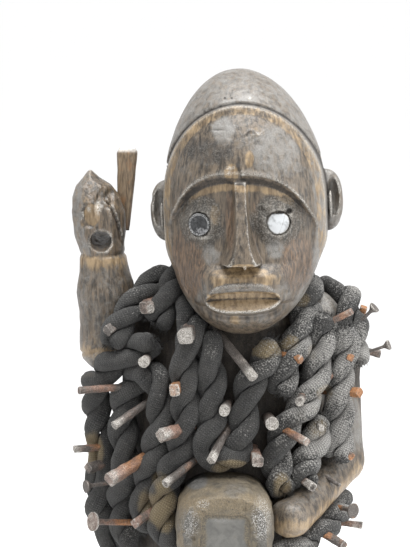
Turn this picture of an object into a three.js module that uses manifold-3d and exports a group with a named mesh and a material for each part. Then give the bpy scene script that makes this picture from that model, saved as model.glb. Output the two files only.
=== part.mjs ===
// Nail figure: a carved standing figure with a raised fist, bound with rope and driven full of nails.
// Millimetres, +Z up, the figure faces -Y, the origin is under the middle of the base.
import * as THREE from 'three';
import { mergeVertices } from 'three/addons/utils/BufferGeometryUtils.js';
import Module from 'manifold-3d';

const wasm = await Module();
wasm.setup();

const { clamp, degToRad, smoothstep } = THREE.MathUtils;

// Driving dimensions
const TOTAL_HEIGHT = 600;
const HEAD_HEIGHT = 168;
const HEAD_HALF_WIDTH = 52;
const HEAD_HALF_DEPTH = 54;
const BASE_SIZE = { width: 150, depth: 128, height: 28, corner: 24, bevel: 3 };
const ROPE_RADIUS = 8;
const ROPE_STEP = 20;
const GAP = 0.3;

// Finishes
const FINISH = {
  wood: { color: 0x7d776e, roughness: 0.55, metalness: 0 },
  resin: { color: 0x8f8566, roughness: 0.8, metalness: 0 },
  rope: { color: 0x5b5a58, roughness: 0.95, metalness: 0 },
  iron: { color: 0x8d7365, roughness: 0.7, metalness: 0.5 },
  glass: { color: 0x35383a, roughness: 0.25, metalness: 0 },
  clouded: { color: 0x9b9a96, roughness: 0.35, metalness: 0 },
  shell: { color: 0xd4cfc6, roughness: 0.5, metalness: 0 },
};

// Solids

function solidOf(geometry) {
  const bare = geometry.clone();
  bare.deleteAttribute('normal');
  bare.deleteAttribute('uv');
  const merged = mergeVertices(bare, 1e-4);
  const mesh = new wasm.Mesh({
    numProp: 3,
    vertProperties: new Float32Array(merged.attributes.position.array),
    triVerts: new Uint32Array(merged.index.array),
  });
  return new wasm.Manifold(mesh);
}

function geometryOf(solid) {
  const { vertProperties, triVerts } = solid.getMesh();
  const geometry = new THREE.BufferGeometry();
  geometry.setAttribute('position', new THREE.BufferAttribute(vertProperties, 3));
  geometry.setIndex(new THREE.BufferAttribute(triVerts, 1));
  geometry.computeVertexNormals();
  return geometry;
}

const joined = (solids) => solids.reduce((whole, solid) => whole.add(solid));
const cut = (solid, cutters) => cutters.reduce((left, cutter) => left.subtract(cutter), solid);

function largestBody(solid) {
  const bodies = solid.decompose();
  return bodies.reduce((best, body) => (body.volume() > best.volume() ? body : best));
}

function named(name, geometry, finish) {
  const mesh = new THREE.Mesh(geometry, new THREE.MeshStandardMaterial(FINISH[finish]));
  mesh.name = name;
  return mesh;
}

// A geometry whose points are each moved by the function given.
function moulded(geometry, move) {
  const places = geometry.attributes.position;
  const point = new THREE.Vector3();
  for (let i = 0; i < places.count; i += 1) {
    point.fromBufferAttribute(places, i);
    move(point);
    places.setXYZ(i, point.x, point.y, point.z);
  }
  return geometry;
}

// A unit ball with its poles on Z.
const ball = (around, up) => new THREE.SphereGeometry(1, around, up).rotateX(Math.PI / 2);

// Where a point of the unit circle goes on a squarer ring.
const squared = (a, b, power) => (Math.abs(a) ** power + Math.abs(b) ** power) ** (-1 / power);

// A limb: a rounded cone from one joint to the next.
function limb([ax, ay, az], startRadius, [bx, by, bz], endRadius) {
  const start = new THREE.Vector3(ax, ay, az);
  const end = new THREE.Vector3(bx, by, bz);
  const along = end.clone().sub(start);
  const turn = new THREE.Quaternion().setFromUnitVectors(
    new THREE.Vector3(0, 0, 1), along.clone().normalize());
  const geometry = moulded(ball(10, 6), (point) => {
    const upper = point.z > 1e-6;
    point.multiplyScalar(upper ? endRadius : startRadius).applyQuaternion(turn).add(upper ? end : start);
  });
  return solidOf(geometry);
}

// A limb through several stations from the lowest up, each [x, y, z, radius]; its ends are flat.
function chain(stations, grow = 0) {
  const rows = stations.length - 1;
  const centres = stations.map(([x, y, z]) => new THREE.Vector3(x, y, z));
  const geometry = new THREE.CylinderGeometry(1, 1, rows, 10, rows).rotateX(Math.PI / 2);
  return solidOf(moulded(geometry, (point) => {
    const row = Math.round(point.z + rows / 2);
    const along = centres[Math.min(row + 1, rows)].clone().sub(centres[Math.max(row - 1, 0)]);
    const turn = new THREE.Quaternion().setFromUnitVectors(new THREE.Vector3(0, 0, 1), along.normalize());
    point.setZ(0).multiplyScalar(stations[row][3] + grow).applyQuaternion(turn).add(centres[row]);
  }));
}

// A lump: a ball stretched to half sizes, squared by power and turned about X, Y and Z in degrees.
function lump([cx, cy, cz], [halfX, halfY, halfZ], { power = 2, turned = [0, 0, 0], around = 10, up = 6 } = {}) {
  const turn = new THREE.Euler(...turned.map(degToRad), 'ZYX');
  const geometry = moulded(ball(around, up), (point) => {
    const flat = Math.hypot(point.x, point.y) || 1;
    const ring = squared(point.x / flat, point.y / flat, power);
    const tall = squared(flat, point.z, power);
    point.set(point.x * ring * tall * halfX, point.y * ring * tall * halfY, point.z * tall * halfZ);
    point.applyEuler(turn).add(new THREE.Vector3(cx, cy, cz));
  });
  return solidOf(geometry);
}

// Head, in its own frame: u to the viewer's right, v towards the back, w up from the chin
const HEAD_PLACE = new THREE.Vector3(11.3, -18, TOTAL_HEIGHT - HEAD_HEIGHT / 2);
const HEAD_TURN = new THREE.Euler(0, degToRad(-2.2), degToRad(-4.5), 'ZYX');
const SECTION_POWER = 2.25;
const CAP_THICKNESS = 1.3;
const BROW = { middle: 100.7, drop: 23.6, reach: 47, overhang: 4, bevel: 4.5 };
const EYES = [{ u: -26.6, w: 73, radius: 7.2 }, { u: 22.6, w: 73, radius: 7.6 }];

// The skull is an egg: how wide, how deep and how far forward it is at each level from -1 to 1.
const skull = (level) => ({
  halfWidth: HEAD_HALF_WIDTH - 3.9 * level,
  halfDepth: HEAD_HALF_DEPTH + 8 * level,
  middle: -3 + 8 * level - 18 * Math.max(0, -level) ** 1.7,
  bow: -2.8 * level * level,
});

const browHeight = (u) => BROW.middle - BROW.drop * (u / BROW.reach) ** 2;

function capRim(u) {
  const across = Math.min(1, Math.abs(u / HEAD_HALF_WIDTH));
  return 146 - 62 * (1 - (1 - across ** 2.5) ** 0.4);
}

// How far forward the bare face is at a place on it.
function faceDepth(u, w) {
  const level = clamp((w * 2) / HEAD_HEIGHT - 1, -0.98, 0.98);
  const { halfWidth, halfDepth, middle, bow } = skull(level);
  const round = Math.sqrt(1 - level * level);
  const across = Math.min(0.995, Math.abs(u - bow) / (halfWidth * round));
  return middle - halfDepth * round * (1 - across ** SECTION_POWER) ** (1 / SECTION_POWER);
}

const intoPlace = (point) => point.setZ(point.z - HEAD_HEIGHT / 2).applyEuler(HEAD_TURN).add(HEAD_PLACE);

function skullSolid(grow) {
  return solidOf(moulded(ball(24, 16), (point) => {
    const level = point.z;
    const { halfWidth, halfDepth, middle, bow } = skull(level);
    const flat = Math.hypot(point.x, point.y) || 1;
    const ring = squared(point.x / flat, point.y / flat, SECTION_POWER);
    point.set(
      bow + point.x * ring * (halfWidth + grow),
      middle + point.y * ring * (halfDepth + grow),
      (level + 1) * (HEAD_HEIGHT / 2) + grow * level,
    );
    intoPlace(point);
  }));
}

// A wall of space in front of the face: its top follows the brow, its back is the plane of the eyes.
function socketCutter() {
  const wide = 2 * (BROW.reach + 6);
  const geometry = new THREE.BoxGeometry(wide, 1, 1, 10, 1, 3);
  return solidOf(moulded(geometry, (point) => {
    const u = point.x;
    const front = point.y < 0;
    const down = 0.5 - point.z;
    const brow = browHeight(u) - (front ? 0 : BROW.bevel);
    const w = brow * (1 - down) + 50 * down;
    const fade = 1 - smoothstep(down, 0.45, 1);
    const edge = 1 - smoothstep(Math.abs(u), BROW.reach - 8, BROW.reach + 4);
    const back = faceDepth(u, w) + BROW.overhang * fade * edge - 0.4 * (1 - fade * edge);
    point.set(u, front ? faceDepth(u, w) - 3 : back, w);
    intoPlace(point);
  }));
}

// A wedge that widens and stands out further as it comes down from the brow.
function nose() {
  const top = { w: 99, u: -2.2, half: 4.5, ridge: 3.9, out: 0.5 };
  const tip = { w: 48.5, u: 2.6, half: 14, ridge: 8.5, out: 15 };
  const geometry = new THREE.BoxGeometry(1, 1, 1, 1, 1, 4);
  return solidOf(moulded(geometry, (point) => {
    const down = 0.5 - point.z;
    const at = (name) => top[name] + (tip[name] - top[name]) * down;
    const front = point.y < 0;
    const w = at('w');
    const u = at('u') + 2 * point.x * (front ? at('ridge') : at('half'));
    point.set(u, front ? faceDepth(at('u'), w) - at('out') : faceDepth(u, w) + 9, w);
    intoPlace(point);
  }));
}

// Two lips on a swelling of the jaw, with the crease between them.
function mouth() {
  const place = { u: 0.4, w: 27, halfWidth: 23.7, halfHeight: 9, out: 9 };
  return solidOf(moulded(ball(12, 8), (point) => {
    const crease = Math.exp(-((point.z / 0.16) ** 2));
    const u = place.u + point.x * place.halfWidth;
    const w = place.w + point.z * place.halfHeight;
    const out = point.y < 0 ? place.out * (1 - 0.35 * crease) : 14;
    point.set(u, faceDepth(u, w) + point.y * out + 1, w);
    intoPlace(point);
  }));
}

function ear(side, level) {
  const shell = [[side * 52, 3, level], [10, 6.5, 20]];
  const hollow = [[side * 56.5, -2.5, level + 1], [4.2, 6, 13]];
  const made = ([centre, half]) => lump([0, 0, 0], half, { around: 8, up: 6 })
    .translate(intoPlace(new THREE.Vector3(...centre)).toArray());
  return made(shell).subtract(made(hollow));
}

// The cap is the top of the skull, a little proud, down to its rim and lower behind the ears.
function cap() {
  const inFront = new THREE.Shape();
  const steps = 12;
  for (let i = 0; i <= steps; i += 1) {
    const u = HEAD_HALF_WIDTH * 1.2 * ((2 * i) / steps - 1);
    inFront[i ? 'lineTo' : 'moveTo'](u, capRim(u));
  }
  inFront.lineTo(80, capRim(80));
  inFront.lineTo(80, 200);
  inFront.lineTo(-80, 200);
  inFront.lineTo(-80, capRim(80));
  const above = new THREE.ExtrudeGeometry(inFront, { depth: 100, bevelEnabled: false });
  above.rotateX(Math.PI / 2).translate(0, 12, 0);
  const behind = new THREE.BoxGeometry(160, 100, 140).translate(0, 61, 128);
  const region = [above, behind].map((geometry) => solidOf(moulded(geometry, intoPlace)));
  return skullSolid(CAP_THICKNESS).intersect(joined(region));
}

function head(grow) {
  const face = skullSolid(grow).subtract(socketCutter());
  return joined([face, nose(), mouth(), ear(1, 81), ear(-1, 77), cap()]);
}

// Body: half width, half depth and middle of the trunk at each height
const TRUNK = [
  { z: 236, halfWidth: 50, halfDepth: 38, middle: 4 },
  { z: 262, halfWidth: 60, halfDepth: 46, middle: 2 },
  { z: 300, halfWidth: 60, halfDepth: 43, middle: 0 },
  { z: 350, halfWidth: 64, halfDepth: 41, middle: 0 },
  { z: 400, halfWidth: 64, halfDepth: 40, middle: 0 },
  { z: 422, halfWidth: 60, halfDepth: 37, middle: 1 },
  { z: 438, halfWidth: 50, halfDepth: 31, middle: 1 },
  { z: 452, halfWidth: 34, halfDepth: 25, middle: 0 },
];

function trunk(grow) {
  const rows = TRUNK.length - 1;
  const geometry = new THREE.CylinderGeometry(1, 1, rows, 18, rows).rotateX(Math.PI / 2);
  return solidOf(moulded(geometry, (point) => {
    const { z, halfWidth, halfDepth, middle } = TRUNK[Math.round(point.z + rows / 2)];
    point.set(point.x * (halfWidth + grow), middle + point.y * (halfDepth + grow), z);
  }));
}

// Raised arm on the viewer's left, with a bored fist.
const FIST = { place: [-84, -2, 505.5], half: [17.5, 16.5, 27.5], gable: 0.75, lean: -5.5 };
const FIST_HOLE = { place: [-83, -2, 492], radius: 6.9, slope: 12 };

function raisedArm(grow) {
  const shoulder = [-52, 3, 424];
  const elbow = [-80, -1, 417];
  const forearm = [[...elbow, 17], [-80.5, -2, 452, 18], [-83, -3, 482, 14.5]];
  return joined([limb(shoulder, 18 + grow, elbow, 17 + grow), chain(forearm, grow), fist(grow)]);
}

// The closed hand is a block with a gabled top.
function fist(grow) {
  const [halfX, halfY, halfZ] = FIST.half.map((half) => half + grow);
  const [x, y, z] = FIST.place;
  return solidOf(moulded(ball(12, 8), (point) => {
    const level = point.z;
    const flat = Math.hypot(point.x, point.y) || 1;
    const ring = squared(point.x / flat, point.y / flat, 2.8) / flat;
    const gable = Math.min(1, (1 - level) / FIST.gable);
    const open = level < -0.99 ? 0 : gable * (1 - 0.17 * Math.min(0, level) ** 2);
    point.set(
      x + FIST.lean * Math.max(0, level) ** 2 + point.x * ring * open * halfX,
      y + point.y * ring * open ** 0.6 * halfY,
      z + level * halfZ,
    );
  }));
}

function fistHole() {
  const geometry = new THREE.CylinderGeometry(FIST_HOLE.radius, FIST_HOLE.radius, 60, 14);
  geometry.rotateX(degToRad(FIST_HOLE.slope));
  return solidOf(geometry.translate(...FIST_HOLE.place));
}

// Lowered arm on the viewer's right, with its hand at the side of the belly packet.
function loweredArm(grow) {
  const elbow = [77, 4, 338];
  const hand = [38, -56, 322];
  const upperArm = [[...elbow, 14], [72, 4, 404, 15], [58, 3, 434, 18]];
  return joined([
    chain(upperArm, grow),
    limb(elbow, 14 + grow, hand, 11 + grow),
    lump(hand, [10 + grow, 14 + grow, 11 + grow], { power: 2.4, turned: [0, 0, 40] }),
  ]);
}

function leg(side) {
  const stations = [
    [side * 37, 8, 34, 13], [side * 37.5, 6, 70, 15.5], [side * 38, 3, 122, 22], [side * 37, -9, 158, 21.5],
    [side * 36, -12, 172, 23], [side * 33, -4, 215, 27], [side * 31, 3, 262, 29],
  ];
  return joined([
    chain(stations),
    lump([side * 24, 24, 256], [27, 27, 29]),
    lump([side * 38, -14, BASE_SIZE.height + 6], [17, 40, 15], { power: 2.5, turned: [0, 0, side * -4] }),
  ]);
}

function base() {
  const { width, depth, height, corner, bevel } = BASE_SIZE;
  const halfX = width / 2 - bevel;
  const halfY = depth / 2 - bevel;
  const outline = new THREE.Shape();
  const corners = [[1, 1, 0], [-1, 1, 90], [-1, -1, 180], [1, -1, 270]];
  for (const [sideX, sideY, from] of corners) {
    const centre = [sideX * (halfX - corner), sideY * (halfY - corner)];
    outline.absarc(...centre, corner, degToRad(from), degToRad(from + 90), false);
  }
  const slab = new THREE.ExtrudeGeometry(outline, {
    depth: height - 2 * bevel, bevelSize: bevel, bevelThickness: bevel, bevelSegments: 1, curveSegments: 3,
  });
  return solidOf(slab.translate(0, BASE_MIDDLE, bevel));
}

// The whole carving. With grow it is a little larger all over, to cut what lies against it.
const BASE_MIDDLE = -10;
function carving(grow = 0) {
  const neck = limb([6, -2, 430], 24, [8, -6, 470], 24);
  const body = joined([trunk(grow), neck, raisedArm(grow), loweredArm(grow)]);
  return joined([body, head(grow), leg(1), leg(-1), base()]).subtract(fistHole());
}

// Belly packet: a drum of packed resin with a clouded plate sunk in its face
const PACKET = { place: [-2.6, 310.5], halfWidth: 31.6, halfHeight: 30.5, back: -36, shoulder: -66, front: -94 };
const PLATE = { halfWidth: 16.5, top: 16, bottom: -17, thickness: 3, proud: 0.4 };

function packetSolid(grow) {
  const rows = [
    { y: PACKET.back, scale: 0.97 },
    { y: PACKET.shoulder, scale: 1 },
    { y: PACKET.shoulder - 14, scale: 0.93 },
    { y: PACKET.front, scale: 0.72 },
  ];
  const geometry = new THREE.CylinderGeometry(1, 1, rows.length - 1, 20, rows.length - 1);
  return solidOf(moulded(geometry, (point) => {
    const row = rows[Math.round((rows.length - 1) / 2 - point.y)];
    const ring = Math.hypot(point.x, point.z) > 1e-6 ? squared(point.x, point.z, 2.7) : 0;
    const x = point.x * ring * (PACKET.halfWidth * row.scale + grow);
    const z = point.z * ring * (PACKET.halfHeight * row.scale + grow);
    point.set(PACKET.place[0] + x, row.y - (row.y === PACKET.front ? grow : 0), PACKET.place[1] + z);
  }));
}

function plateGeometry(grow) {
  const { halfWidth, top, bottom, thickness, proud } = PLATE;
  const wide = 2 * (halfWidth + grow);
  const tall = top - bottom + 2 * grow;
  const geometry = new THREE.BoxGeometry(wide, thickness + grow, tall);
  const middle = PACKET.front - proud + (thickness + grow) / 2;
  return geometry.translate(PACKET.place[0], middle, PACKET.place[1] + (top + bottom) / 2);
}

// Haft stub: what is left of a squared wooden haft, wedged between the fist and the arm
const HAFT = {
  top: { x: -66.2, y: 6, z: 546, halfX: 7.1, halfY: 6 },
  foot: { x: -69, y: 9, z: 492, halfX: 4.2, halfY: 4.2 },
};

function haftSolid(grow) {
  return solidOf(moulded(new THREE.BoxGeometry(2, 2, 1, 1, 1, 2), (point) => {
    const up = point.z + 0.5;
    const at = (size) => HAFT.foot[size] + (HAFT.top[size] - HAFT.foot[size]) * up;
    const x = at('x') + point.x * (at('halfX') + grow);
    const y = at('y') + point.y * (at('halfY') + grow);
    point.set(x, y, at('z') + 2 * point.z * grow);
  }));
}

// Eye inlays: short discs let into the plane of the eyes
function eyeSolid({ u, w, radius }, grow) {
  const depth = faceDepth(u, w) + BROW.overhang;
  const geometry = new THREE.CylinderGeometry(radius + grow, radius + grow, 3.4 + 2 * grow, 16);
  const lean = new THREE.Euler(degToRad(-6), 0, degToRad(u > 0 ? 14 : -14), 'ZYX');
  return solidOf(moulded(geometry, (point) => {
    point.applyEuler(lean).add(new THREE.Vector3(u, depth + 0.6, w));
    intoPlace(point);
  }));
}

// Ropes: the middle line of each length, laid by hand over the trunk, shoulders and arms
const ROPES = {
  rope_centre_loop: [
    [-14, -42, 434], [-13, -48, 421], [-11, -51, 407], [-11, -52, 392], [-12, -52, 376], [-15, -54, 364],
    [-11, -57, 354], [-2, -58, 351], [6, -56, 357], [9, -53, 368], [10, -51, 383], [12, -51, 396],
    [19, -50, 408], [27, -48, 417], [25, -46, 427],
  ],
  rope_left_middle: [
    [-24, -22, 452], [-21, -35, 443], [-24, -44, 431], [-28, -49, 418], [-27, -51, 402], [-27, -52, 386],
    [-28, -51, 366], [-34, -50, 351], [-40, -48, 336], [-43, -47, 321], [-41, -48, 306], [-37, -50, 292],
  ],
  rope_left_front: [
    [-53, -37, 300], [-55, -36, 318], [-52, -38, 334], [-47, -41, 350], [-44, -42, 366], [-43, -43, 381],
    [-45, -42, 395], [-52, -37, 406], [-61, -31, 400], [-67, -25, 387], [-69, -22, 370], [-68, -24, 350],
    [-67, -26, 333], [-70, -18, 314], [-68, -17, 298], [-64, -22, 282],
  ],
  rope_left_side: [
    [-48, -40, 424], [-61, -35, 419], [-76, -29, 407], [-87, -15, 395], [-87, -6, 376], [-85, -6, 358],
    [-84, -8, 338], [-86, -5, 318], [-84, -3, 300], [-77, 0, 281],
  ],
  rope_left_shoulder: [
    [-75, -33, 421], [-70, -32, 433], [-62, -25, 445], [-51, -13, 455], [-43, 6, 460], [-42, 24, 454],
    [-46, 40, 436], [-50, 46, 412], [-51, 46, 384], [-50, 46, 358], [-47, 48, 334],
  ],
  rope_neck: [
    [-48, -33, 437], [-41, -30, 447], [-35, -18, 458], [-29, 2, 466], [-16, 24, 466], [4, 36, 460],
    [15, 45, 442], [15, 50, 416], [13, 51, 390], [12, 51, 362], [14, 52, 336],
  ],
  rope_right_inner: [
    [33, -47, 393], [35, -46, 406], [41, -43, 419], [48, -35, 431], [53, -22, 443], [53, -4, 454],
    [48, 14, 457], [41, 32, 448], [35, 44, 428], [33, 49, 400], [32, 50, 372], [33, 50, 344],
  ],
  rope_right_middle: [
    [60, -29, 440], [63, -31, 428], [62, -32, 416], [58, -35, 406], [54, -38, 394], [48, -43, 383],
    [39, -47, 374], [32, -48, 360], [31, -48, 344], [36, -47, 328],
  ],
  rope_right_front: [
    [72, -30, 432], [74, -27, 419], [73, -26, 404], [71, -26, 389], [73, -23, 374], [72, -24, 358],
    [70, -27, 342],
  ],
  rope_right_shoulder: [
    [86, -14, 402], [86, -13, 420], [82, -8, 435], [75, 3, 446], [66, 16, 449], [58, 31, 440],
    [53, 42, 420], [51, 46, 394], [50, 47, 366], [52, 45, 342],
  ],
  rope_short: [[60, -31, 374], [58, -34, 361], [52, -39, 350], [47, -43, 339], [45, -43, 328]],
  rope_back_loop: [
    [-28, 38, 440], [-30, 47, 418], [-30, 50, 392], [-28, 50, 364], [-20, 51, 346], [-10, 51, 346],
    [-5, 51, 362], [-7, 50, 390], [-8, 48, 414], [-8, 42, 436],
  ],
  rope_waist: [
    [-28, -56, 272], [-8, -60, 268], [12, -58, 271], [28, -54, 280], [38, -51, 292], [51, -44, 299],
    [66, -30, 304], [74, -8, 308], [72, 17, 311], [58, 38, 314], [34, 52, 316], [6, 55, 317],
    [-22, 54, 317], [-48, 44, 316], [-67, 25, 312],
  ],
};

function ropeSolid(points, grow) {
  const route = new THREE.CatmullRomCurve3(points.map((point) => new THREE.Vector3(...point)));
  const section = new THREE.Shape();
  const sides = 8;
  for (let i = 0; i < sides; i += 1) {
    const angle = (2 * Math.PI * i) / sides;
    const corner = [(ROPE_RADIUS + grow) * Math.cos(angle), (ROPE_RADIUS + grow) * Math.sin(angle)];
    section[i ? 'lineTo' : 'moveTo'](...corner);
  }
  const steps = Math.round(route.getLength() / ROPE_STEP);
  return solidOf(new THREE.ExtrudeGeometry(section, { steps, extrudePath: route, bevelEnabled: false }));
}

// Nails, spikes and pegs. from and to are where each one leaves the bundle and ends, as the photograph
// shows them in its pixels; reach is how far it comes forward over that stretch and back its depth there.
const VIEW = { distance: 1400, scale: 0.66, elevation: 8, aim: [-15.2, 464], centre: [205, 273.5] };
const NAILS = {
  nail_01: { kind: 'trumpet', size: 4, from: [145, 289], to: [143, 281], back: 8, reach: 2 },
  spike_02: { kind: 'square', size: 9, from: [150, 302], to: [147, 308], back: -22, reach: 16, deep: 18 },
  spike_03: { kind: 'square', size: 6.4, from: [122, 321], to: [107, 331], back: -30, reach: 10, deep: 14 },
  peg_04: { kind: 'round', size: 8.8, from: [146, 360], to: [143.7, 362.3], back: -44, reach: 15 },
  peg_05: { kind: 'round', size: 6.4, from: [117, 388], to: [79, 390.5], back: -34, reach: 8 },
  spike_06: { kind: 'square', size: 9, from: [188, 332], to: [185, 337], back: -52, reach: 12 },
  spike_07: { kind: 'square', size: 7.5, from: [177, 387], to: [174.5, 390], back: -56, reach: 12 },
  peg_08: { kind: 'round', size: 6.6, from: [143, 406], to: [114, 425.5], back: -42, reach: 16 },
  spike_09: { kind: 'square', size: 7.8, from: [182, 428.6], to: [161, 435.5], back: -56, reach: 15 },
  peg_10: { kind: 'round', size: 9, from: [226, 408], to: [224, 411], back: -58, reach: 12 },
  spike_11: { kind: 'square', size: 4.5, from: [92, 447], to: [74, 449], back: -14, reach: 4 },
  spike_12: { kind: 'square', size: 6, from: [98, 466], to: [88, 468], back: -18, reach: 6 },
  nail_13: { kind: 'trumpet', size: 3.4, from: [107.8, 483.7], to: [85.5, 486.5], back: -26, reach: 8 },
  spike_14: { kind: 'square', size: 8, from: [139.4, 460.2], to: [109, 480], back: -42, reach: 16 },
  peg_15: { kind: 'round', size: 7.2, from: [187.3, 466.3], to: [165, 484], back: -58, reach: 14 },
  spike_16: { kind: 'square', size: 5.2, from: [221, 443], to: [211, 461], back: -62, reach: 12 },
  spike_17: { kind: 'square', size: 5.6, from: [154.7, 511], to: [134.5, 524], back: -46, reach: 14 },
  nail_18: { kind: 'trumpet', size: 5, from: [119, 521.4], to: [92.5, 521.6], back: -34, reach: 12 },
  peg_19: { kind: 'round', size: 8.2, from: [234.4, 353.8], to: [253.5, 377.5], back: -54, reach: 14 },
  spike_20: { kind: 'square', size: 5.2, from: [284, 356], to: [301, 359.3], back: -46, reach: 7 },
  spike_21: { kind: 'square', size: 3.8, from: [323.7, 325], to: [352, 311], back: -34, reach: 8 },
  nail_22: { kind: 'trumpet', size: 3, from: [362, 319], to: [375, 307], back: -16, reach: 3 },
  spike_23: { kind: 'square', size: 4.6, from: [361, 316], to: [364, 307], back: -4, reach: 2 },
  nail_24: { kind: 'trumpet', size: 2.6, from: [367, 352.5], to: [389.5, 344.8], back: -16, reach: 4 },
  spike_25: { kind: 'square', size: 5, from: [346, 356], to: [350.5, 357.5], back: -30, reach: 6 },
  nail_26: { kind: 'round', size: 5.8, from: [329, 376], to: [328, 377.5], back: -36, reach: 3, deep: 16 },
  spike_27: { kind: 'square', size: 5.6, from: [347, 391.5], to: [360, 392.5], back: -28, reach: 7 },
  peg_28: { kind: 'round', size: 7.2, from: [301, 399], to: [299.5, 402], back: -52, reach: 12 },
  peg_29: { kind: 'round', size: 10.6, from: [270, 421], to: [272.3, 424], back: -56, reach: 14 },
  spike_30: { kind: 'square', size: 5.2, from: [291.6, 433.6], to: [307, 442], back: -55, reach: 10, deep: 12 },
  spike_31: { kind: 'square', size: 7, from: [256, 456], to: [258, 462], back: -58, reach: 14 },
  spike_32: { kind: 'square', size: 5.6, from: [304.6, 481.3], to: [312.5, 487.3], back: -50, reach: 8 },
  nail_33: { kind: 'round', size: 3.2, from: [328.4, 479], to: [339.5, 485.2], back: -34, reach: 6 },
  spike_34: { kind: 'square', size: 3.8, from: [319, 426], to: [321.4, 428.4], back: -44, reach: 10 },
  spike_36: { kind: 'square', size: 5, from: [344, 450], to: [351, 457], back: -24, reach: 8 },
  nail_37: { kind: 'trumpet', size: 4, from: [340.3, 507.3], to: [353.5, 511], back: -28, reach: 9 },
  spike_38: { kind: 'square', size: 5.4, from: [321.9, 533.3], to: [344, 545.5], back: -42, reach: 12 },
};

// Nails of the back, in keeping with the front: where they leave the bundle and where they end
const BACK_NAILS = {
  spike_back_1: { kind: 'square', size: 7, start: [-20, 58, 404], end: [-28, 82, 396] },
  spike_back_2: { kind: 'square', size: 6, start: [24, 58, 372], end: [36, 80, 366] },
  nail_back_3: { kind: 'trumpet', size: 3.6, start: [-40, 54, 350], end: [-56, 76, 344] },
};
const DEPTH_IN = 27;
const TRUMPET = { flare: 2.6, length: 5, rim: 1 };

// The place at a given depth that shows at a pixel of the photograph.
function seenAt([across, down], y) {
  const tilt = degToRad(VIEW.elevation);
  const [aimX, aimZ] = VIEW.aim;
  let z = aimZ;
  let scale = VIEW.scale;
  for (let pass = 0; pass < 5; pass += 1) {
    const away = VIEW.distance + y * Math.cos(tilt) - (z - aimZ) * Math.sin(tilt);
    scale = (VIEW.scale * away) / VIEW.distance;
    z = aimZ + ((VIEW.centre[1] - down) * scale - y * Math.sin(tilt)) / Math.cos(tilt);
  }
  return new THREE.Vector3(aimX + (across - VIEW.centre[0]) * scale, y, z);
}

function nailEnds(nail) {
  const start = nail.start ? new THREE.Vector3(...nail.start) : seenAt(nail.from, nail.back);
  const end = nail.end ? new THREE.Vector3(...nail.end) : seenAt(nail.to, nail.back - nail.reach);
  const out = end.clone().sub(start).normalize();
  return { root: start.clone().addScaledVector(out, -(nail.deep ?? DEPTH_IN)), end, out };
}

// A nail along +Z, its root at the origin; grown, it is the hole that it sits in.
function nailGeometry({ kind, size }, length, grow) {
  const half = size / 2 + grow;
  const reach = length + grow;
  if (kind === 'square') {
    const shank = new THREE.CylinderGeometry(half * Math.SQRT2, half * 0.62 * Math.SQRT2, reach + grow, 4);
    return shank.rotateX(Math.PI / 2).rotateZ(Math.PI / 4).translate(0, 0, (reach - grow) / 2);
  }
  const profile = [new THREE.Vector2(0, -grow), new THREE.Vector2(half * (kind === 'round' ? 0.8 : 0.7), -grow)];
  if (kind === 'trumpet') {
    const flare = half * TRUMPET.flare;
    profile.push(new THREE.Vector2(half, reach - TRUMPET.length), new THREE.Vector2(flare, reach - TRUMPET.rim));
    profile.push(new THREE.Vector2(flare, reach));
  } else {
    profile.push(new THREE.Vector2(half, reach - 1.5), new THREE.Vector2(half * 0.8, reach));
  }
  profile.push(new THREE.Vector2(0, reach));
  return new THREE.LatheGeometry(profile, 6).rotateX(Math.PI / 2);
}

function nailParts() {
  return Object.entries({ ...NAILS, ...BACK_NAILS }).map(([name, nail]) => {
    const { root, end, out } = nailEnds(nail);
    const length = end.distanceTo(root);
    const mesh = named(name, nailGeometry(nail, length, 0), 'iron');
    mesh.position.copy(root);
    mesh.quaternion.setFromUnitVectors(new THREE.Vector3(0, 0, 1), out);
    mesh.updateMatrix();
    const hole = solidOf(nailGeometry(nail, length, GAP).applyMatrix4(mesh.matrix));
    return { mesh, hole };
  });
}

// Assembly
const nails = nailParts();
const holes = nails.map(({ hole }) => hole);
const eyeHoles = EYES.map((eye) => eyeSolid(eye, GAP));
const figureSolid = largestBody(cut(carving(), [...holes, ...eyeHoles, haftSolid(GAP)]));
const figureSpace = carving(GAP);
const packetSpace = packetSolid(GAP);
const packet = cut(packetSolid(0), [figureSpace, solidOf(plateGeometry(GAP)), ...holes]);

const figure = new THREE.Group();
figure.add(named('figure', geometryOf(figureSolid), 'wood'));
figure.add(named('haft_stub', geometryOf(haftSolid(0)), 'wood'));
figure.add(named('eye_disc', geometryOf(eyeSolid(EYES[0], 0)), 'glass'));
figure.add(named('eye_inlay', geometryOf(eyeSolid(EYES[1], 0)), 'shell'));
figure.add(named('belly_packet', geometryOf(largestBody(packet)), 'resin'));
figure.add(named('packet_plate', plateGeometry(0), 'clouded'));

// Each rope is pressed flat where it lies on the carving, the packet, a nail or an earlier rope.
const laid = [];
for (const [name, points] of Object.entries(ROPES)) {
  const rope = cut(ropeSolid(points, 0), [figureSpace, packetSpace, ...holes, ...laid]);
  figure.add(named(name, geometryOf(largestBody(rope)), 'rope'));
  laid.push(ropeSolid(points, GAP));
}
for (const { mesh } of nails) {
  figure.add(mesh);
}

export default figure;
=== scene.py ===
"""The looks of the nail figure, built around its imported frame.

Shapes are worked out in millimetres and turned into metres when a mesh is made.
"""

import math

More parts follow.
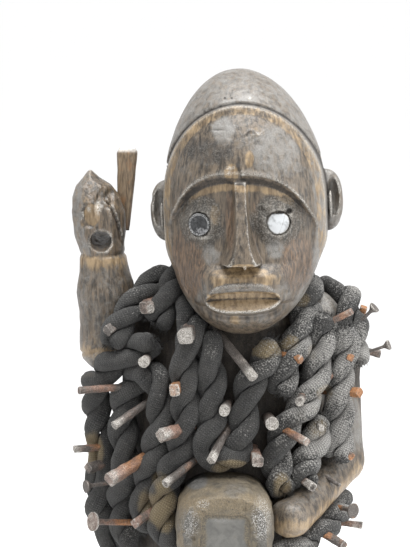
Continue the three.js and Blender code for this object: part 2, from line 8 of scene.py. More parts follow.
import bpy
import numpy as np
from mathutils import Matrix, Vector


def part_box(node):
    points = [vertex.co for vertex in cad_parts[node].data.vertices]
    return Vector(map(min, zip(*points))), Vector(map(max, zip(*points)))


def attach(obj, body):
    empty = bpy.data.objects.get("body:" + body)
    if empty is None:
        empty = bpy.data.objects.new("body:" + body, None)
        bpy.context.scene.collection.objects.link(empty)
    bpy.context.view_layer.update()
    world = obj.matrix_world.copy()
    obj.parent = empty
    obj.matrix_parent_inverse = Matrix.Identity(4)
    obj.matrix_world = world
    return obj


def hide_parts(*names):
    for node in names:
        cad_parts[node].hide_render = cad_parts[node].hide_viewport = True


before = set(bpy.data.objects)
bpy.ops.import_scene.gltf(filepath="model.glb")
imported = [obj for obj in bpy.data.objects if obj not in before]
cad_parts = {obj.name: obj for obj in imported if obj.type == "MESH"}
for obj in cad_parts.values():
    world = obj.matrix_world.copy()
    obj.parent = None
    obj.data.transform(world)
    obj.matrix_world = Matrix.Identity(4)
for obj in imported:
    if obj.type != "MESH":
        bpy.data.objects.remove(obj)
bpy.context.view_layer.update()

import openvdb
from mathutils import Vector

MM = 0.001
BODY = "root"

# Camera: the photograph's place, from 1.4 m away and 8 degrees above the level
AIM = Vector((-15.2, 0, 464)) * MM
CAMERA_DISTANCE = 1.4
CAMERA_ELEVATION = math.radians(8)
SENSOR = 36.0
FRAME_TALL = 0.361

# The figure's sizes, as in the CAD source
HEAD_HEIGHT = 168.0
HEAD_PLACE = (11.3, -18.0, 516.0)
HEAD_LEAN = math.radians(-2.2)
HEAD_YAW = math.radians(-4.5)
HEAD_HALF_WIDTH = 52.0
HEAD_HALF_DEPTH = 54.0
SECTION_POWER = 2.25
CELL = 1.85
FIGURE_TRIANGLES = 190000


# Numbers


def ramp(value, low, high):
    """0 below low, 1 above high and smooth between them; low may be the larger."""
    t = np.clip((value - low) / (high - low), 0, 1)
    return t * t * (3 - 2 * t)


def hump(value, centre, width):
    """A bell of height 1."""
    return np.exp(-(((value - centre) / width) ** 2))


def spot(u, w, centre, half, soft=0.35):
    """1 inside an ellipse of the face plane, fading over its rim."""
    far = np.hypot((u - centre[0]) / half[0], (w - centre[1]) / half[1])
    return 1 - ramp(far, 1 - soft, 1 + soft)


LATTICE_SIDE = 32
LATTICE = np.random.default_rng(11).random((LATTICE_SIDE,) * 3).astype(np.float32) * 2 - 1


def noise(points, size, seed=0, stretch=(1, 1, 1)):
    """Smooth lumps about size across, from -1 to 1."""
    p = np.asarray(points) / (size * np.array(stretch, float)) + seed * 5.37
    cell = np.floor(p).astype(np.int64)
    part = (p - cell).astype(np.float32)
    part = part * part * (3 - 2 * part)
    low = cell % LATTICE_SIDE
    high = (cell + 1) % LATTICE_SIDE
    total = 0
    for corner in range(8):
        sides = [(corner >> axis) & 1 for axis in range(3)]
        index = [high[:, a] if sides[a] else low[:, a] for a in range(3)]
        weight = 1
        for axis in range(3):
            weight = weight * (part[:, axis] if sides[axis] else 1 - part[:, axis])
        total = total + LATTICE[index[0], index[1], index[2]] * weight
    return total


def layered(points, size, seed=0, layers=3, stretch=(1, 1, 1)):
    """Noise with finer noise on it."""
    total = 0
    for layer in range(layers):
        total = total + noise(points, size / 2**layer, seed + layer, stretch) / 2**layer
    return total


# Fields: the distance to a surface, below 0 inside it


def soft_min(a, b, k):
    """The join of two fields, rounded over about k where they meet."""
    h = np.clip(0.5 + 0.5 * (b - a) / k, 0, 1)
    return b + (a - b) * h - k * h * (1 - h)


def soft_max(a, b, k):
    return -soft_min(-a, -b, k)


def capsule(p, start, start_radius, end, end_radius):
    start = np.array(start, float)
    along = np.array(end, float) - start
    t = np.clip((p - start) @ along / (along @ along), 0, 1)
    return np.linalg.norm(p - start - t[:, None] * along, axis=1) - (
        start_radius + (end_radius - start_radius) * t)


def limb(p, stations, k=5):
    """A limb through stations, each (x, y, z, radius)."""
    field = None
    for a, b in zip(stations, stations[1:]):
        piece = capsule(p, a[:3], a[3], b[:3], b[3])
        field = piece if field is None else soft_min(field, piece, k)
    return field


def lump(p, centre, half, power=2.0, turned=0.0):
    """A ball stretched to half sizes, squared by power and turned about Z in degrees."""
    q = p - np.array(centre, float)
    c, s = math.cos(math.radians(turned)), math.sin(math.radians(turned))
    x = c * q[:, 0] + s * q[:, 1]
    y = -s * q[:, 0] + c * q[:, 1]
    parts = (np.abs(x) / half[0], np.abs(y) / half[1], np.abs(q[:, 2]) / half[2])
    g = sum(part**power for part in parts) ** (1 / power) + 1e-6
    return np.linalg.norm(q, axis=1) * (1 - 1 / g)


def near(p, low, high, field, reach=14.0, far=16.0):
    """A part's field where it matters, and a plain large distance elsewhere."""
    found = np.all((p > np.array(low) - reach) & (p < np.array(high) + reach), axis=1)
    value = np.full(len(p), far)
    if found.any():
        value[found] = np.minimum(field(p[found]), far)
    return value


# Head. u to the viewer's right, v towards the back, w up from the chin

BROW_TOP = 104.0
BROW_DROP = 27.0
BROW_REACH = 45.0
BROW_TILT = 0.06
BROW_BEVEL = 5.6
SOCKET_DEPTH = 5.2
CROWN_LOWER = 2.3
CAP_PROUD = 1.7
CAP_BAND = 5.2
MOUTH_MIDDLE = -0.8
MOUTH_HALF = 23.6
EYE_DISC = {"u": -26.6, "w": 73.0, "radius": 7.2}
EYE_INLAY = {"u": 22.6, "w": 73.0, "radius": 7.6}
EYE_LEAN = math.radians(14)

_cy, _sy = math.cos(HEAD_LEAN), math.sin(HEAD_LEAN)
_cz, _sz = math.cos(HEAD_YAW), math.sin(HEAD_YAW)
HEAD_TURN = np.array([[_cz, -_sz, 0], [_sz, _cz, 0], [0, 0, 1]]) @ np.array(
    [[_cy, 0, _sy], [0, 1, 0], [-_sy, 0, _cy]])


def head_frame(p):
    q = (p - np.array(HEAD_PLACE)) @ HEAD_TURN
    return q[:, 0], q[:, 1], q[:, 2] + HEAD_HEIGHT / 2


def from_head(u, v, w):
    q = np.stack(np.broadcast_arrays(u, v, w - HEAD_HEIGHT / 2), axis=-1)
    return q @ HEAD_TURN.T + np.array(HEAD_PLACE)


def skull_sizes(level):
    return (
        HEAD_HALF_WIDTH - 3.9 * level,
        HEAD_HALF_DEPTH + 8 * level,
        -3 + 8 * level - 18 * np.maximum(0, -level) ** 1.7,
        -2.8 * level * level,
    )


def skull_field(u, v, w):
    level = (w * 2) / HEAD_HEIGHT - 1
    half_width, half_depth, middle, bow = skull_sizes(np.clip(level, -1, 1))
    ring = (np.abs(u - bow) / half_width) ** SECTION_POWER
    ring += (np.abs(v - middle) / half_depth) ** SECTION_POWER
    g = np.sqrt(ring ** (2 / SECTION_POWER) + level * level) + 1e-6
    far = np.sqrt((u - bow) ** 2 + (v - middle) ** 2 + (w - HEAD_HEIGHT / 2) ** 2)
    return far * (1 - 1 / g)


def face_depth(u, w):
    """How far forward the bare skull is at a place on the face."""
    level = np.clip((w * 2) / HEAD_HEIGHT - 1, -0.98, 0.98)
    half_width, half_depth, middle, bow = skull_sizes(level)
    around = np.sqrt(1 - level * level)
    across = np.minimum(0.995, np.abs(u - bow) / (half_width * around))
    return middle - half_depth * around * (1 - across**SECTION_POWER) ** (1 / SECTION_POWER)


def brow_line(u):
    return BROW_TOP - BROW_DROP * (np.abs(u) / BROW_REACH) ** 3 - BROW_TILT * u


def face_edge(u, w):
    """1 on the face, 0 on the sides of the head, with a chamfer between them."""
    level = np.clip((w * 2) / HEAD_HEIGHT - 1, -0.97, 0.97)
    half_width, _, _, bow = skull_sizes(level)
    across = np.abs(u - bow) / (half_width * np.sqrt(1 - level * level))
    return 1 - ramp(across, 0.84, 0.93)


def nose_relief(u, w):
    """Height of the nose over the skull: a wedge with a flat ridge and a cut-off end."""
    t = np.clip((100 - w) / 52, 0, 1)
    ridge_middle = 0.1 + 1.9 * t - 1.2 * t**6
    ridge = 3.3 - 0.3 * t + 6.4 * t**6
    foot_middle = -2.0 * t
    foot = 5.2 + 9.8 * t**2.6
    out = 0.2 + 15.5 * np.minimum(t, 0.94) ** 1.12
    left = (u - (foot_middle - foot)) / ((ridge_middle - ridge) - (foot_middle - foot))
    right = ((foot_middle + foot) - u) / ((foot_middle + foot) - (ridge_middle + ridge))
    side = np.clip(np.minimum(left, right), 0, 1)
    below = ramp(w, 46.4, 48.6)
    above = ramp(w, 104, 99)
    return (-SOCKET_DEPTH + (out + SOCKET_DEPTH) * side) * below * above - 20 * (1 - below * above)


def mouth_lines(u):
    s = np.clip(np.abs(u - MOUTH_MIDDLE) / MOUTH_HALF, 0, 1)
    crease = 26.2 - 1.4 * s * s
    return s, crease, crease + 10.6 * (1 - s**3.4) ** 0.6, crease - 7.6 * (1 - s**2.8) ** 0.65


def mouth_relief(u, w):
    """The jaw's swelling with the lens-shaped mouth sunk in it."""
    s, crease, top, bottom = mouth_lines(u)
    spread = np.exp(-((np.abs(u - MOUTH_MIDDLE) / 27.5) ** 5))
    rise = ramp(w, 49, 38.5) * (0.25 + 0.75 * ramp(w, bottom - 4.2, bottom - 0.3)) * ramp(w, 3, 15)
    swell = 8.2 * spread * rise
    above = np.clip((w - crease) / np.maximum(top - crease, 0.6), 0, 1.3)
    under = np.clip((crease - w) / np.maximum(crease - bottom, 0.6), 0, 1.3)
    upper = np.interp(above, [0, 0.4, 0.5, 0.9, 1.0, 1.1], [-6.2, -5.2, -1.4, 1.3, 1.1, 0])
    lower = np.interp(under, [0, 0.2, 0.88, 1.0, 1.08], [-6.2, -5.0, -0.4, 0.7, 0])
    inside = (np.abs(u - MOUTH_MIDDLE) < MOUTH_HALF) & (above < 1.1) & (under < 1.08)
    lens = np.where(w > crease, upper, lower)
    closing = np.clip(1.15 * (1 - s**5), 0, 1)
    fold = -1.8 * hump(w, bottom - 4.2, 1.9) * spread
    return swell + np.where(inside, lens * closing, 0) + fold


def eye_relief(u, w):
    """Resin packed round the eyes, with a seat for each inlay."""
    relief = 0
    for eye, spread in ((EYE_DISC, 15.0), (EYE_INLAY, 15.5)):
        far = np.hypot(u - eye["u"], (w - eye["w"]) * 0.95)
        mound = (1 - ramp(far, eye["radius"] + 1, spread)) * ramp(far, eye["radius"] - 1.2, eye["radius"] + 0.6)
        relief = relief + 2.4 * mound - 0.4 * (1 - ramp(far, eye["radius"] - 0.8, eye["radius"] + 0.6))
    lid = spot(u, w, (21.5, 84.0), (8.0, 4.4), 0.3) * 1.7
    pit = -3.2 * spot(u, w, (29.6, 79.6), (1.7, 1.5), 0.4)
    return relief + lid + pit


def rim_distance(u, v, w):
    """How far a place is above the rim of the cap, and behind the ears above its lower edge."""
    g = np.sqrt((np.abs(u) / 52) ** 2 + (np.maximum(w - 84, 0) / 62) ** 2) + 1e-6
    front = np.hypot(u, w - 84) * (1 - 1 / g)
    front = np.where(w < 84, np.abs(u) - 52, front)
    return np.maximum(front, np.minimum(v - 11, w - 58))


def cap_relief(rim):
    dome = CAP_PROUD * ramp(rim, -0.6, 0.2)
    band = CAP_PROUD * np.clip((rim + CAP_BAND) / CAP_BAND, 0, 1) * (rim < 0)
    groove = -1.3 * hump(rim, 1.2, 0.8)
    return np.maximum(dome, band) + groove


def face_relief(u, w):
    brow = brow_line(u)
    under = np.clip((brow - w) / BROW_BEVEL, 0, 1)
    fade = 1 - 0.75 * ramp(w, 66, 42)
    plane = -SOCKET_DEPTH * under * fade * ramp(w, 10, 34) * (1 - 0.5 * ramp(np.abs(u), 33, 45))
    lip = 0.55 * hump(w, brow + 1.6, 1.7) * ramp(np.abs(u), 46, 34)
    notch = spot(u, w, (-2.4, 103.0), (3.4, 7.0), 0.2)
    plane = plane * (1 - 0.55 * notch) + lip * (1 - notch) - 1.1 * notch * ramp(w, 99, 103)
    mouth = mouth_relief(u, w)
    relief = plane + mouth + eye_relief(u, w)
    return soft_max(relief, nose_relief(u, w) + 0.4 * mouth, 0.8)


def ear_field(u, v, w, side, level):
    """A C-shaped ear, open to the front, with a ridge in its hollow and a notch in its rim."""
    q = np.stack([u, v, w], axis=-1)
    shell = lump(q, (side * 51.5, 3, level), (11.2, 7, 20), 2.3)
    hollow = lump(q, (side * 56.2, -5.5, level + 2.5), (4.4, 8.5, 13.5), 2.2)
    ridge = lump(q, (side * 54.6, -1.5, level - 3), (1.5, 4.2, 9.5), 2)
    notch = lump(q, (side * 63.5, -1, level + (8 if side < 0 else -13)), (3.4, 6, 3.6), 2)
    whole = soft_min(soft_max(shell, -hollow, 0.8), ridge, 0.8)
    return soft_max(whole, -notch, 1.5)


def head_field(p):
    u, v, w = head_frame(p)
    front = ramp(v, -6, -20)
    relief = front * face_edge(u, w) * face_relief(u, w)
    lowered = w + CROWN_LOWER * np.maximum(0, (w - 100) / 68) ** 2
    head = skull_field(u, v, lowered) - relief - cap_relief(rim_distance(u, v, w))
    for side, level in ((1, 81), (-1, 77)):
        head = soft_min(head, ear_field(u, v, w, side, level), 1.6)
    return head


# Body

TRUNK = np.array([  # height, half width, half depth, middle
    [236, 50, 38, 4], [262, 60, 46, 2], [300, 60, 43, 0], [350, 64, 41, 0],
    [400, 64, 40, 0], [422, 60, 37, 1], [438, 50, 31, 1], [452, 34, 25, 0], [458, 22, 18, 0],
], float)
FIST = {"place": (-84.0, -2.0, 505.5), "half_depth": 16.5, "half_height": 27.5, "gable": 0.75}
FIST_LEVELS = [-1.0, -0.5, 0.0, 0.35, 0.62, 0.8, 1.0]
FIST_LEFT = [-12.8, -16.7, -18.0, -17.6, -15.4, -11.2, -7.0]
FIST_RIGHT = [14.6, 16.7, 16.4, 12.9, 7.4, -0.6, -6.0]
FIST_HOLE = {"place": (-83.0, -2.0, 492.0), "radius": 6.9, "slope": math.radians(18)}
BASE = {"half": (75.0, 64.0, 14.0), "corner": 24.0, "middle": (0.0, -10.0, 14.0), "round": 3.0}


def trunk_field(p):
    z = np.clip(p[:, 2], TRUNK[0, 0], TRUNK[-1, 0])
    half_width, half_depth, middle = (np.interp(z, TRUNK[:, 0], TRUNK[:, i]) for i in (1, 2, 3))
    g = np.hypot(p[:, 0] / half_width, (p[:, 1] - middle) / half_depth) + 1e-6
    side = np.hypot(p[:, 0], p[:, 1] - middle) * (1 - 1 / g)
    return soft_max(side, np.abs(p[:, 2] - 346) - 111, 8)


def fist_field(p):
    """A knife-cut block: a narrow front, a facet to each side of it and a peak above."""
    x0, y0, z0 = FIST["place"]
    level = np.clip((p[:, 2] - z0) / FIST["half_height"], -1.2, 1)
    left = np.interp(level, FIST_LEVELS, FIST_LEFT)
    right = np.interp(level, FIST_LEVELS, FIST_RIGHT)
    x = p[:, 0] - x0 - (left + right) / 2
    y = p[:, 1] - y0
    gable = np.clip((1 - level) / FIST["gable"], 0.02, 1)
    open_x = (right - left) / 2
    open_y = gable**0.6 * FIST["half_depth"]
    g = ((np.abs(x) / open_x) ** 4 + (np.abs(y) / open_y) ** 4) ** 0.25 + 1e-6
    side = np.hypot(x, y) * (1 - 1 / g)
    wide = open_x / 17
    facet = 0.75 * np.abs(x + 0.8 * wide) - 0.66 * y - 16.6 * wide
    front = -y - 14.6 * gable**0.6
    block = soft_max(side, np.maximum(facet, front), 0.5)
    return soft_max(block, np.abs(p[:, 2] - z0) - FIST["half_height"], 0.8)


def fist_cuts(p):
    """The bore, the thumb's line and the rough break above the bore."""
    x, y, z = p[:, 0], p[:, 1], p[:, 2]
    px, py, pz = FIST_HOLE["place"]
    slope = math.tan(FIST_HOLE["slope"])
    bore = np.hypot(x - px, (z - pz - slope * (y - py))) - FIST_HOLE["radius"]
    thumb_x = np.interp(z, [484, 492, 500, 508, 514], [-70.2, -71.2, -73.0, -76.0, -80.0])
    thumb = 2.0 * hump(x, thumb_x, 0.9) * ramp(z, 481, 486) * ramp(z, 518, 512) * ramp(y, -3, -8)
    rough = 0.8 + 0.35 * layered(p, 4, 21, 2)
    uneven_x, uneven_z = x + 2.6 * noise(p, 5, 22), z + 2.6 * noise(p, 5, 23)
    broken = 2.0 * spot(uneven_x, uneven_z, (-80.5, 514.0), (4.6, 7.0), 0.3) * ramp(y, -4, -9) * rough
    chipped = 1.5 * spot(uneven_x, uneven_z, (-90.6, 503.5), (3.8, 6.5), 0.3) * ramp(y, -4, -9)
    return bore, thumb + broken + chipped


def raised_arm(p):
    arm = limb(p, [(-52, 3, 424, 18), (-80, -1, 417, 17), (-80.5, -2, 452, 18), (-83, -3, 482, 14.5)])
    bore, grooves = fist_cuts(p)
    fist = fist_field(p) + grooves
    wrist = 1.2 * hump(p[:, 2], 478.0, 1.6)
    whole = soft_min(arm + wrist, fist, 1.2)
    return soft_max(whole, -bore, 0.8)


def lowered_arm(p):
    upper = limb(p, [(58, 3, 434, 18), (72, 4, 404, 15), (77, 4, 338, 14)])
    fore = capsule(p, (77, 4, 337), 14, (42, -54, 313), 12.5)
    hand = lump(p, (38, -57, 313), (9, 12, 11.5), 2.4, 40)
    return soft_min(soft_min(upper, fore, 4), hand, 4)


def leg_field(p, side):
    stations = [
        (37, 8, 34, 13), (37.5, 6, 70, 15.5), (38, 3, 122, 22), (37, -9, 158, 21.5),
        (36, -12, 172, 23), (33, -4, 215, 27), (31, 3, 262, 29),
    ]
    q = p * np.array([side, 1, 1])
    leg = limb(q, stations, 8)
    leg = soft_min(leg, lump(q, (24, 24, 256), (27, 27, 29)), 7)
    foot = lump(q, (38, -14, 34), (17, 40, 15), 2.5, -4)
    toes = sum(hump(q[:, 0], 38 + step, 0.9) for step in (-9, -3.4, 2.2, 7.6))
    foot = foot + 1.6 * toes * ramp(q[:, 1], -40, -46)
    return soft_min(leg, foot, 6)


def base_field(p):
    q = np.abs(p - np.array(BASE["middle"]))
    corner, edge = BASE["corner"], BASE["round"]
    flat = np.maximum(q[:, :2] - (np.array(BASE["half"][:2]) - corner), 0)
    side = np.linalg.norm(flat, axis=1) - corner
    return soft_max(side, q[:, 2] - BASE["half"][2], edge)


def carving_field(p):
    """The whole carving."""
    body = near(p, (-66, -48, 228), (66, 52, 462), trunk_field)
    body = soft_min(body, near(p, (-20, -32, 406), (34, 24, 496),
                               lambda q: capsule(q, (6, -2, 430), 24, (8, -6, 470), 24)), 8)
    body = soft_min(body, near(p, (-103, -24, 398), (-34, 24, 536), raised_arm), 3)
    body = soft_min(body, near(p, (26, -75, 305), (94, 24, 455), lowered_arm), 4)
    body = soft_min(body, near(p, (-50, -90, 430), (75, 60, 602), head_field), 2)
    for side in (1, -1):
        low, high = sorted((side * -6, side * 68))
        body = soft_min(body, near(p, (low, -58, 18), (high, 56, 300), lambda q: leg_field(q, side)), 7)
    return soft_min(body, near(p, (-76, -75, -1), (76, 55, 30), base_field), 1.5)


# Meshing


def field_grid(field, low, high, cell):
    """The field on a grid, worked out in full only near the surface."""
    block = 4
    step = block * cell
    counts = [int(math.ceil((high[a] - low[a]) / step)) for a in range(3)]
    axes = [low[a] + step * (np.arange(counts[a]) + 0.5) for a in range(3)]
    middles = np.stack(np.meshgrid(*axes, indexing="ij"), axis=-1).reshape(-1, 3)
    coarse = field(middles)
    grid = np.repeat(np.repeat(np.repeat(
        np.clip(coarse, -4, 4).reshape(counts), block, 0), block, 1), block, 2).astype(np.float32)
    close = np.flatnonzero(np.abs(coarse) < 2.4 * step)
    offsets = np.stack(np.meshgrid(*[np.arange(block)] * 3, indexing="ij"), axis=-1).reshape(-1, 3)
    corner = np.stack(np.unravel_index(close, counts), axis=-1) * block
    for part in np.array_split(corner, max(1, len(corner) // 8000)):
        index = (part[:, None, :] + offsets[None]).reshape(-1, 3)
        places = np.array(low) + cell * (index + 0.5)
        grid[index[:, 0], index[:, 1], index[:, 2]] = np.clip(field(places), -4, 4)
    return grid


def slope(field, places, step=0.05):
    here = field(places)
    parts = []
    for axis in range(3):
        moved = places.copy()
        moved[:, axis] += step
        parts.append((field(moved) - here) / step)
    return here, np.stack(parts, axis=-1)


def polygonised(field, low, high, cell, spread=None):
    """Vertices on the surface of a field, and the quads between them; spread maps the even grid to space."""
    spread = spread or (lambda places: places)
    grid = field_grid(lambda places: field(spread(places)), low, high, cell)
    volume = openvdb.FloatGrid(4.0)
    volume.copyFromArray(grid)
    places, quads = volume.convertToQuads(isovalue=0.0)
    places = spread(np.array(low) + cell * (places.astype(float) + 0.5))
    for _ in range(3):
        here, change = slope(field, places)
        size = np.maximum(np.sum(change**2, axis=1), 0.25)
        move = -(here / size)[:, None] * change
        reach = np.linalg.norm(move, axis=1)
        move *= np.minimum(1, 0.7 * cell / np.maximum(reach, 1e-9))[:, None]
        places = places + move
    return places, quads


# The carving's grid is finest round the face and wider further away
FACE_MIDDLE = np.array([8.0, -42.0, 508.0])
GRID_RADII = np.arange(0, 1400, 2.0)
GRID_SLOPES = 0.56 + 0.62 * ramp(GRID_RADII, 130, 340)
TRUE_RADII = np.concatenate([[0], np.cumsum(0.5 * (GRID_SLOPES[1:] + GRID_SLOPES[:-1]) * 2.0)])


def spread_out(places):
    """From the even grid to space."""
    way = places - FACE_MIDDLE
    radius = np.maximum(np.linalg.norm(way, axis=1), 1e-6)
    return FACE_MIDDLE + way * (np.interp(radius, GRID_RADII, TRUE_RADII) / radius)[:, None]


def gathered(places):
    """From space to the even grid."""
    way = places - FACE_MIDDLE
    radius = np.maximum(np.linalg.norm(way, axis=1), 1e-6)
    return FACE_MIDDLE + way * (np.interp(radius, TRUE_RADII, GRID_RADII) / radius)[:, None]


def make_mesh(name, places, faces, uvs=None, smooth=True):
    """A mesh object from places in millimetres and an array of faces, or a list of such arrays."""
    groups = faces if isinstance(faces, list) else [faces]
    groups = [np.asarray(group) for group in groups if len(group)]
    loops = np.concatenate([group.ravel() for group in groups]).astype(np.int32)
    counts = np.concatenate([np.full(len(group), group.shape[1]) for group in groups])
    starts = np.concatenate([[0], np.cumsum(counts)[:-1]]).astype(np.int32)
    mesh = bpy.data.meshes.new(name)
    mesh.vertices.add(len(places))
    mesh.vertices.foreach_set("co", (np.asarray(places) * MM).astype(np.float32).ravel())
    mesh.loops.add(len(loops))
    mesh.loops.foreach_set("vertex_index", loops)
    mesh.polygons.add(len(counts))
    mesh.polygons.foreach_set("loop_start", starts)
    mesh.update(calc_edges=True)
    mesh.validate()
    if uvs is not None:
        layer = mesh.uv_layers.new(name="UVMap")
        layer.data.foreach_set("uv", np.asarray(uvs, np.float32).ravel())
    mesh.polygons.foreach_set("use_smooth", np.full(len(mesh.polygons), smooth))
    piece = bpy.data.objects.new(name, mesh)
    bpy.context.scene.collection.objects.link(piece)
    return piece


def places_of(mesh):
    co = np.empty(len(mesh.vertices) * 3, np.float32)
    mesh.vertices.foreach_get("co", co)
    return co.reshape(-1, 3).astype(float) / MM


def edges_of(mesh):
    pairs = np.empty(len(mesh.edges) * 2, np.int32)
    mesh.edges.foreach_get("vertices", pairs)
    return pairs.reshape(-1, 2)


def normals_of(mesh):
    n = np.empty(len(mesh.vertices) * 3, np.float32)
    mesh.vertex_normals.foreach_get("vector", n)
    return n.reshape(-1, 3).astype(float)


def add_masks(mesh, name, channels):
    """Three masks as one colour attribute."""
    values = np.ones((len(mesh.vertices), 4), np.float32)
    for i, channel in enumerate(channels):
        values[:, i] = np.clip(channel, 0, 1)
    attribute = mesh.attributes.new(name, "FLOAT_COLOR", "POINT")
    attribute.data.foreach_set("color", values.ravel())


def bulge(mesh, rounds=3):
    """How far each vertex stands out of its neighbours: above 0 on edges, below 0 in creases."""
    co, n, pairs = places_of(mesh), normals_of(mesh), edges_of(mesh)
    a, b = pairs[:, 0], pairs[:, 1]
    span = co[b] - co[a]
    length = np.maximum(np.linalg.norm(span, axis=1), 1e-6)
    total = np.zeros(len(co))
    count = np.bincount(pairs.ravel(), minlength=len(co)).astype(float)
    np.add.at(total, a, -np.sum(span * n[a], axis=1) / length)
    np.add.at(total, b, np.sum(span * n[b], axis=1) / length)
    value = total / np.maximum(count, 1)
    for _ in range(rounds):
        spread = np.bincount(a, value[b], len(co)) + np.bincount(b, value[a], len(co))
        value = 0.5 * value + 0.5 * spread / np.maximum(count, 1)
    return value


def reduced(piece, triangles, weights):
    """The piece with fewer triangles, kept where the weights are high."""
    group = piece.vertex_groups.new(name="keep")
    levels = np.round(np.clip(weights, 0, 1) * 4).astype(int)
    for level in range(1, 5):
        chosen = np.flatnonzero(levels == level).tolist()
        if chosen:
            group.add(chosen, level / 4, "REPLACE")
    now = sum(len(p.vertices) - 2 for p in piece.data.polygons)
    change = piece.modifiers.new("fewer", "DECIMATE")
    change.ratio = min(1, triangles / now)
    change.use_collapse_triangulate = True
    change.vertex_group = "keep"
    change.vertex_group_factor = 6
    change.invert_vertex_group = True
    lighter = bpy.data.meshes.new_from_object(
        piece.evaluated_get(bpy.context.evaluated_depsgraph_get()))
    piece.modifiers.clear()
    piece.vertex_groups.clear()
    piece.data = lighter
    lighter.polygons.foreach_set("use_smooth", np.full(len(lighter.polygons), True))
    return piece


# Ropes: two twisted strands of knitted cloth along each route, which is the CAD's own

STRAND_RADIUS = 6.3
STRAND_OFFSET = 4.3
STRAND_APART = 11.6
ROPE_PITCH = 46.0
BEAD_STEP = 2.5
RING_STEP = 1.25
RING_SIDES = 28
STRAND_GAP = 0.12
PACKET_MIDDLE = (-2.6, 310.5)
PACKET_HALF = (31.6, 30.5)
PACKET_BACK, PACKET_SHOULDER, PACKET_FRONT = -36.0, -66.0, -94.0

ROPES = {
    "rope_centre_loop": [
        [-14, -42, 434], [-13, -48, 421], [-11, -51, 407], [-11, -52, 392], [-12, -52, 376], [-15, -54, 364],
        [-11, -57, 354], [-2, -58, 351], [6, -56, 357], [9, -53, 368], [10, -51, 383], [12, -51, 396],
        [19, -50, 408], [27, -48, 417], [25, -46, 427],
    ],
    "rope_left_middle": [
        [-24, -22, 452], [-21, -35, 443], [-24, -44, 431], [-28, -49, 418], [-27, -51, 402], [-27, -52, 386],
        [-28, -51, 366], [-34, -50, 351], [-40, -48, 336], [-43, -47, 321], [-41, -48, 306], [-37, -50, 292],
    ],
    "rope_left_front": [
        [-53, -37, 300], [-55, -36, 318], [-52, -38, 334], [-47, -41, 350], [-44, -42, 366], [-43, -43, 381],
        [-45, -42, 395], [-52, -37, 406], [-61, -31, 400], [-67, -25, 387], [-69, -22, 370], [-68, -24, 350],
        [-67, -26, 333], [-70, -18, 314], [-68, -17, 298], [-64, -22, 282],
    ],
    "rope_left_side": [
        [-48, -40, 424], [-61, -35, 419], [-76, -29, 407], [-87, -15, 395], [-87, -6, 376], [-85, -6, 358],
        [-84, -8, 338], [-86, -5, 318], [-84, -3, 300], [-77, 0, 281],
    ],
    "rope_left_shoulder": [
        [-75, -33, 421], [-70, -32, 433], [-62, -25, 445], [-51, -13, 455], [-43, 6, 460], [-42, 24, 454],
        [-46, 40, 436], [-50, 46, 412], [-51, 46, 384], [-50, 46, 358], [-47, 48, 334],
    ],
    "rope_neck": [
        [-48, -33, 437], [-41, -30, 447], [-35, -18, 458], [-29, 2, 466], [-16, 24, 466], [4, 36, 460],
        [15, 45, 442], [15, 50, 416], [13, 51, 390], [12, 51, 362], [14, 52, 336],
    ],
    "rope_right_inner": [
        [33, -47, 393], [35, -46, 406], [41, -43, 419], [48, -35, 431], [53, -22, 443], [53, -4, 454],
        [48, 14, 457], [41, 32, 448], [35, 44, 428], [33, 49, 400], [32, 50, 372], [33, 50, 344],
    ],
    "rope_right_middle": [
        [60, -29, 440], [63, -31, 428], [62, -32, 416], [58, -35, 406], [54, -38, 394], [48, -43, 383],
        [39, -47, 374], [32, -48, 360], [31, -48, 344], [36, -47, 328],
    ],
    "rope_right_front": [
        [72, -30, 432], [74, -27, 419], [73, -26, 404], [71, -26, 389], [73, -23, 374], [72, -24, 358],
        [70, -27, 342],
    ],
    "rope_right_shoulder": [
        [80, -17, 406], [82, -14, 420], [80, -8, 435], [74, 3, 446], [66, 16, 449], [58, 31, 440],
        [53, 42, 420], [51, 46, 394], [50, 47, 366], [52, 45, 342],
    ],
    "rope_short": [[60, -31, 374], [58, -34, 361], [52, -39, 350], [47, -43, 339], [45, -43, 328]],
    "rope_back_loop": [
        [-28, 38, 440], [-30, 47, 418], [-30, 50, 392], [-28, 50, 364], [-20, 51, 346], [-10, 51, 346],
        [-5, 51, 362], [-7, 50, 390], [-8, 48, 414], [-8, 42, 436],
    ],
    "rope_waist": [
        [-28, -56, 272], [-8, -60, 268], [12, -58, 271], [28, -54, 280], [38, -51, 292], [51, -44, 299],
        [66, -30, 304], [74, -8, 308], [72, 17, 311], [58, 38, 314], [34, 52, 316], [6, 55, 317],
        [-22, 54, 317], [-48, 44, 316], [-67, 25, 312],
    ],
}


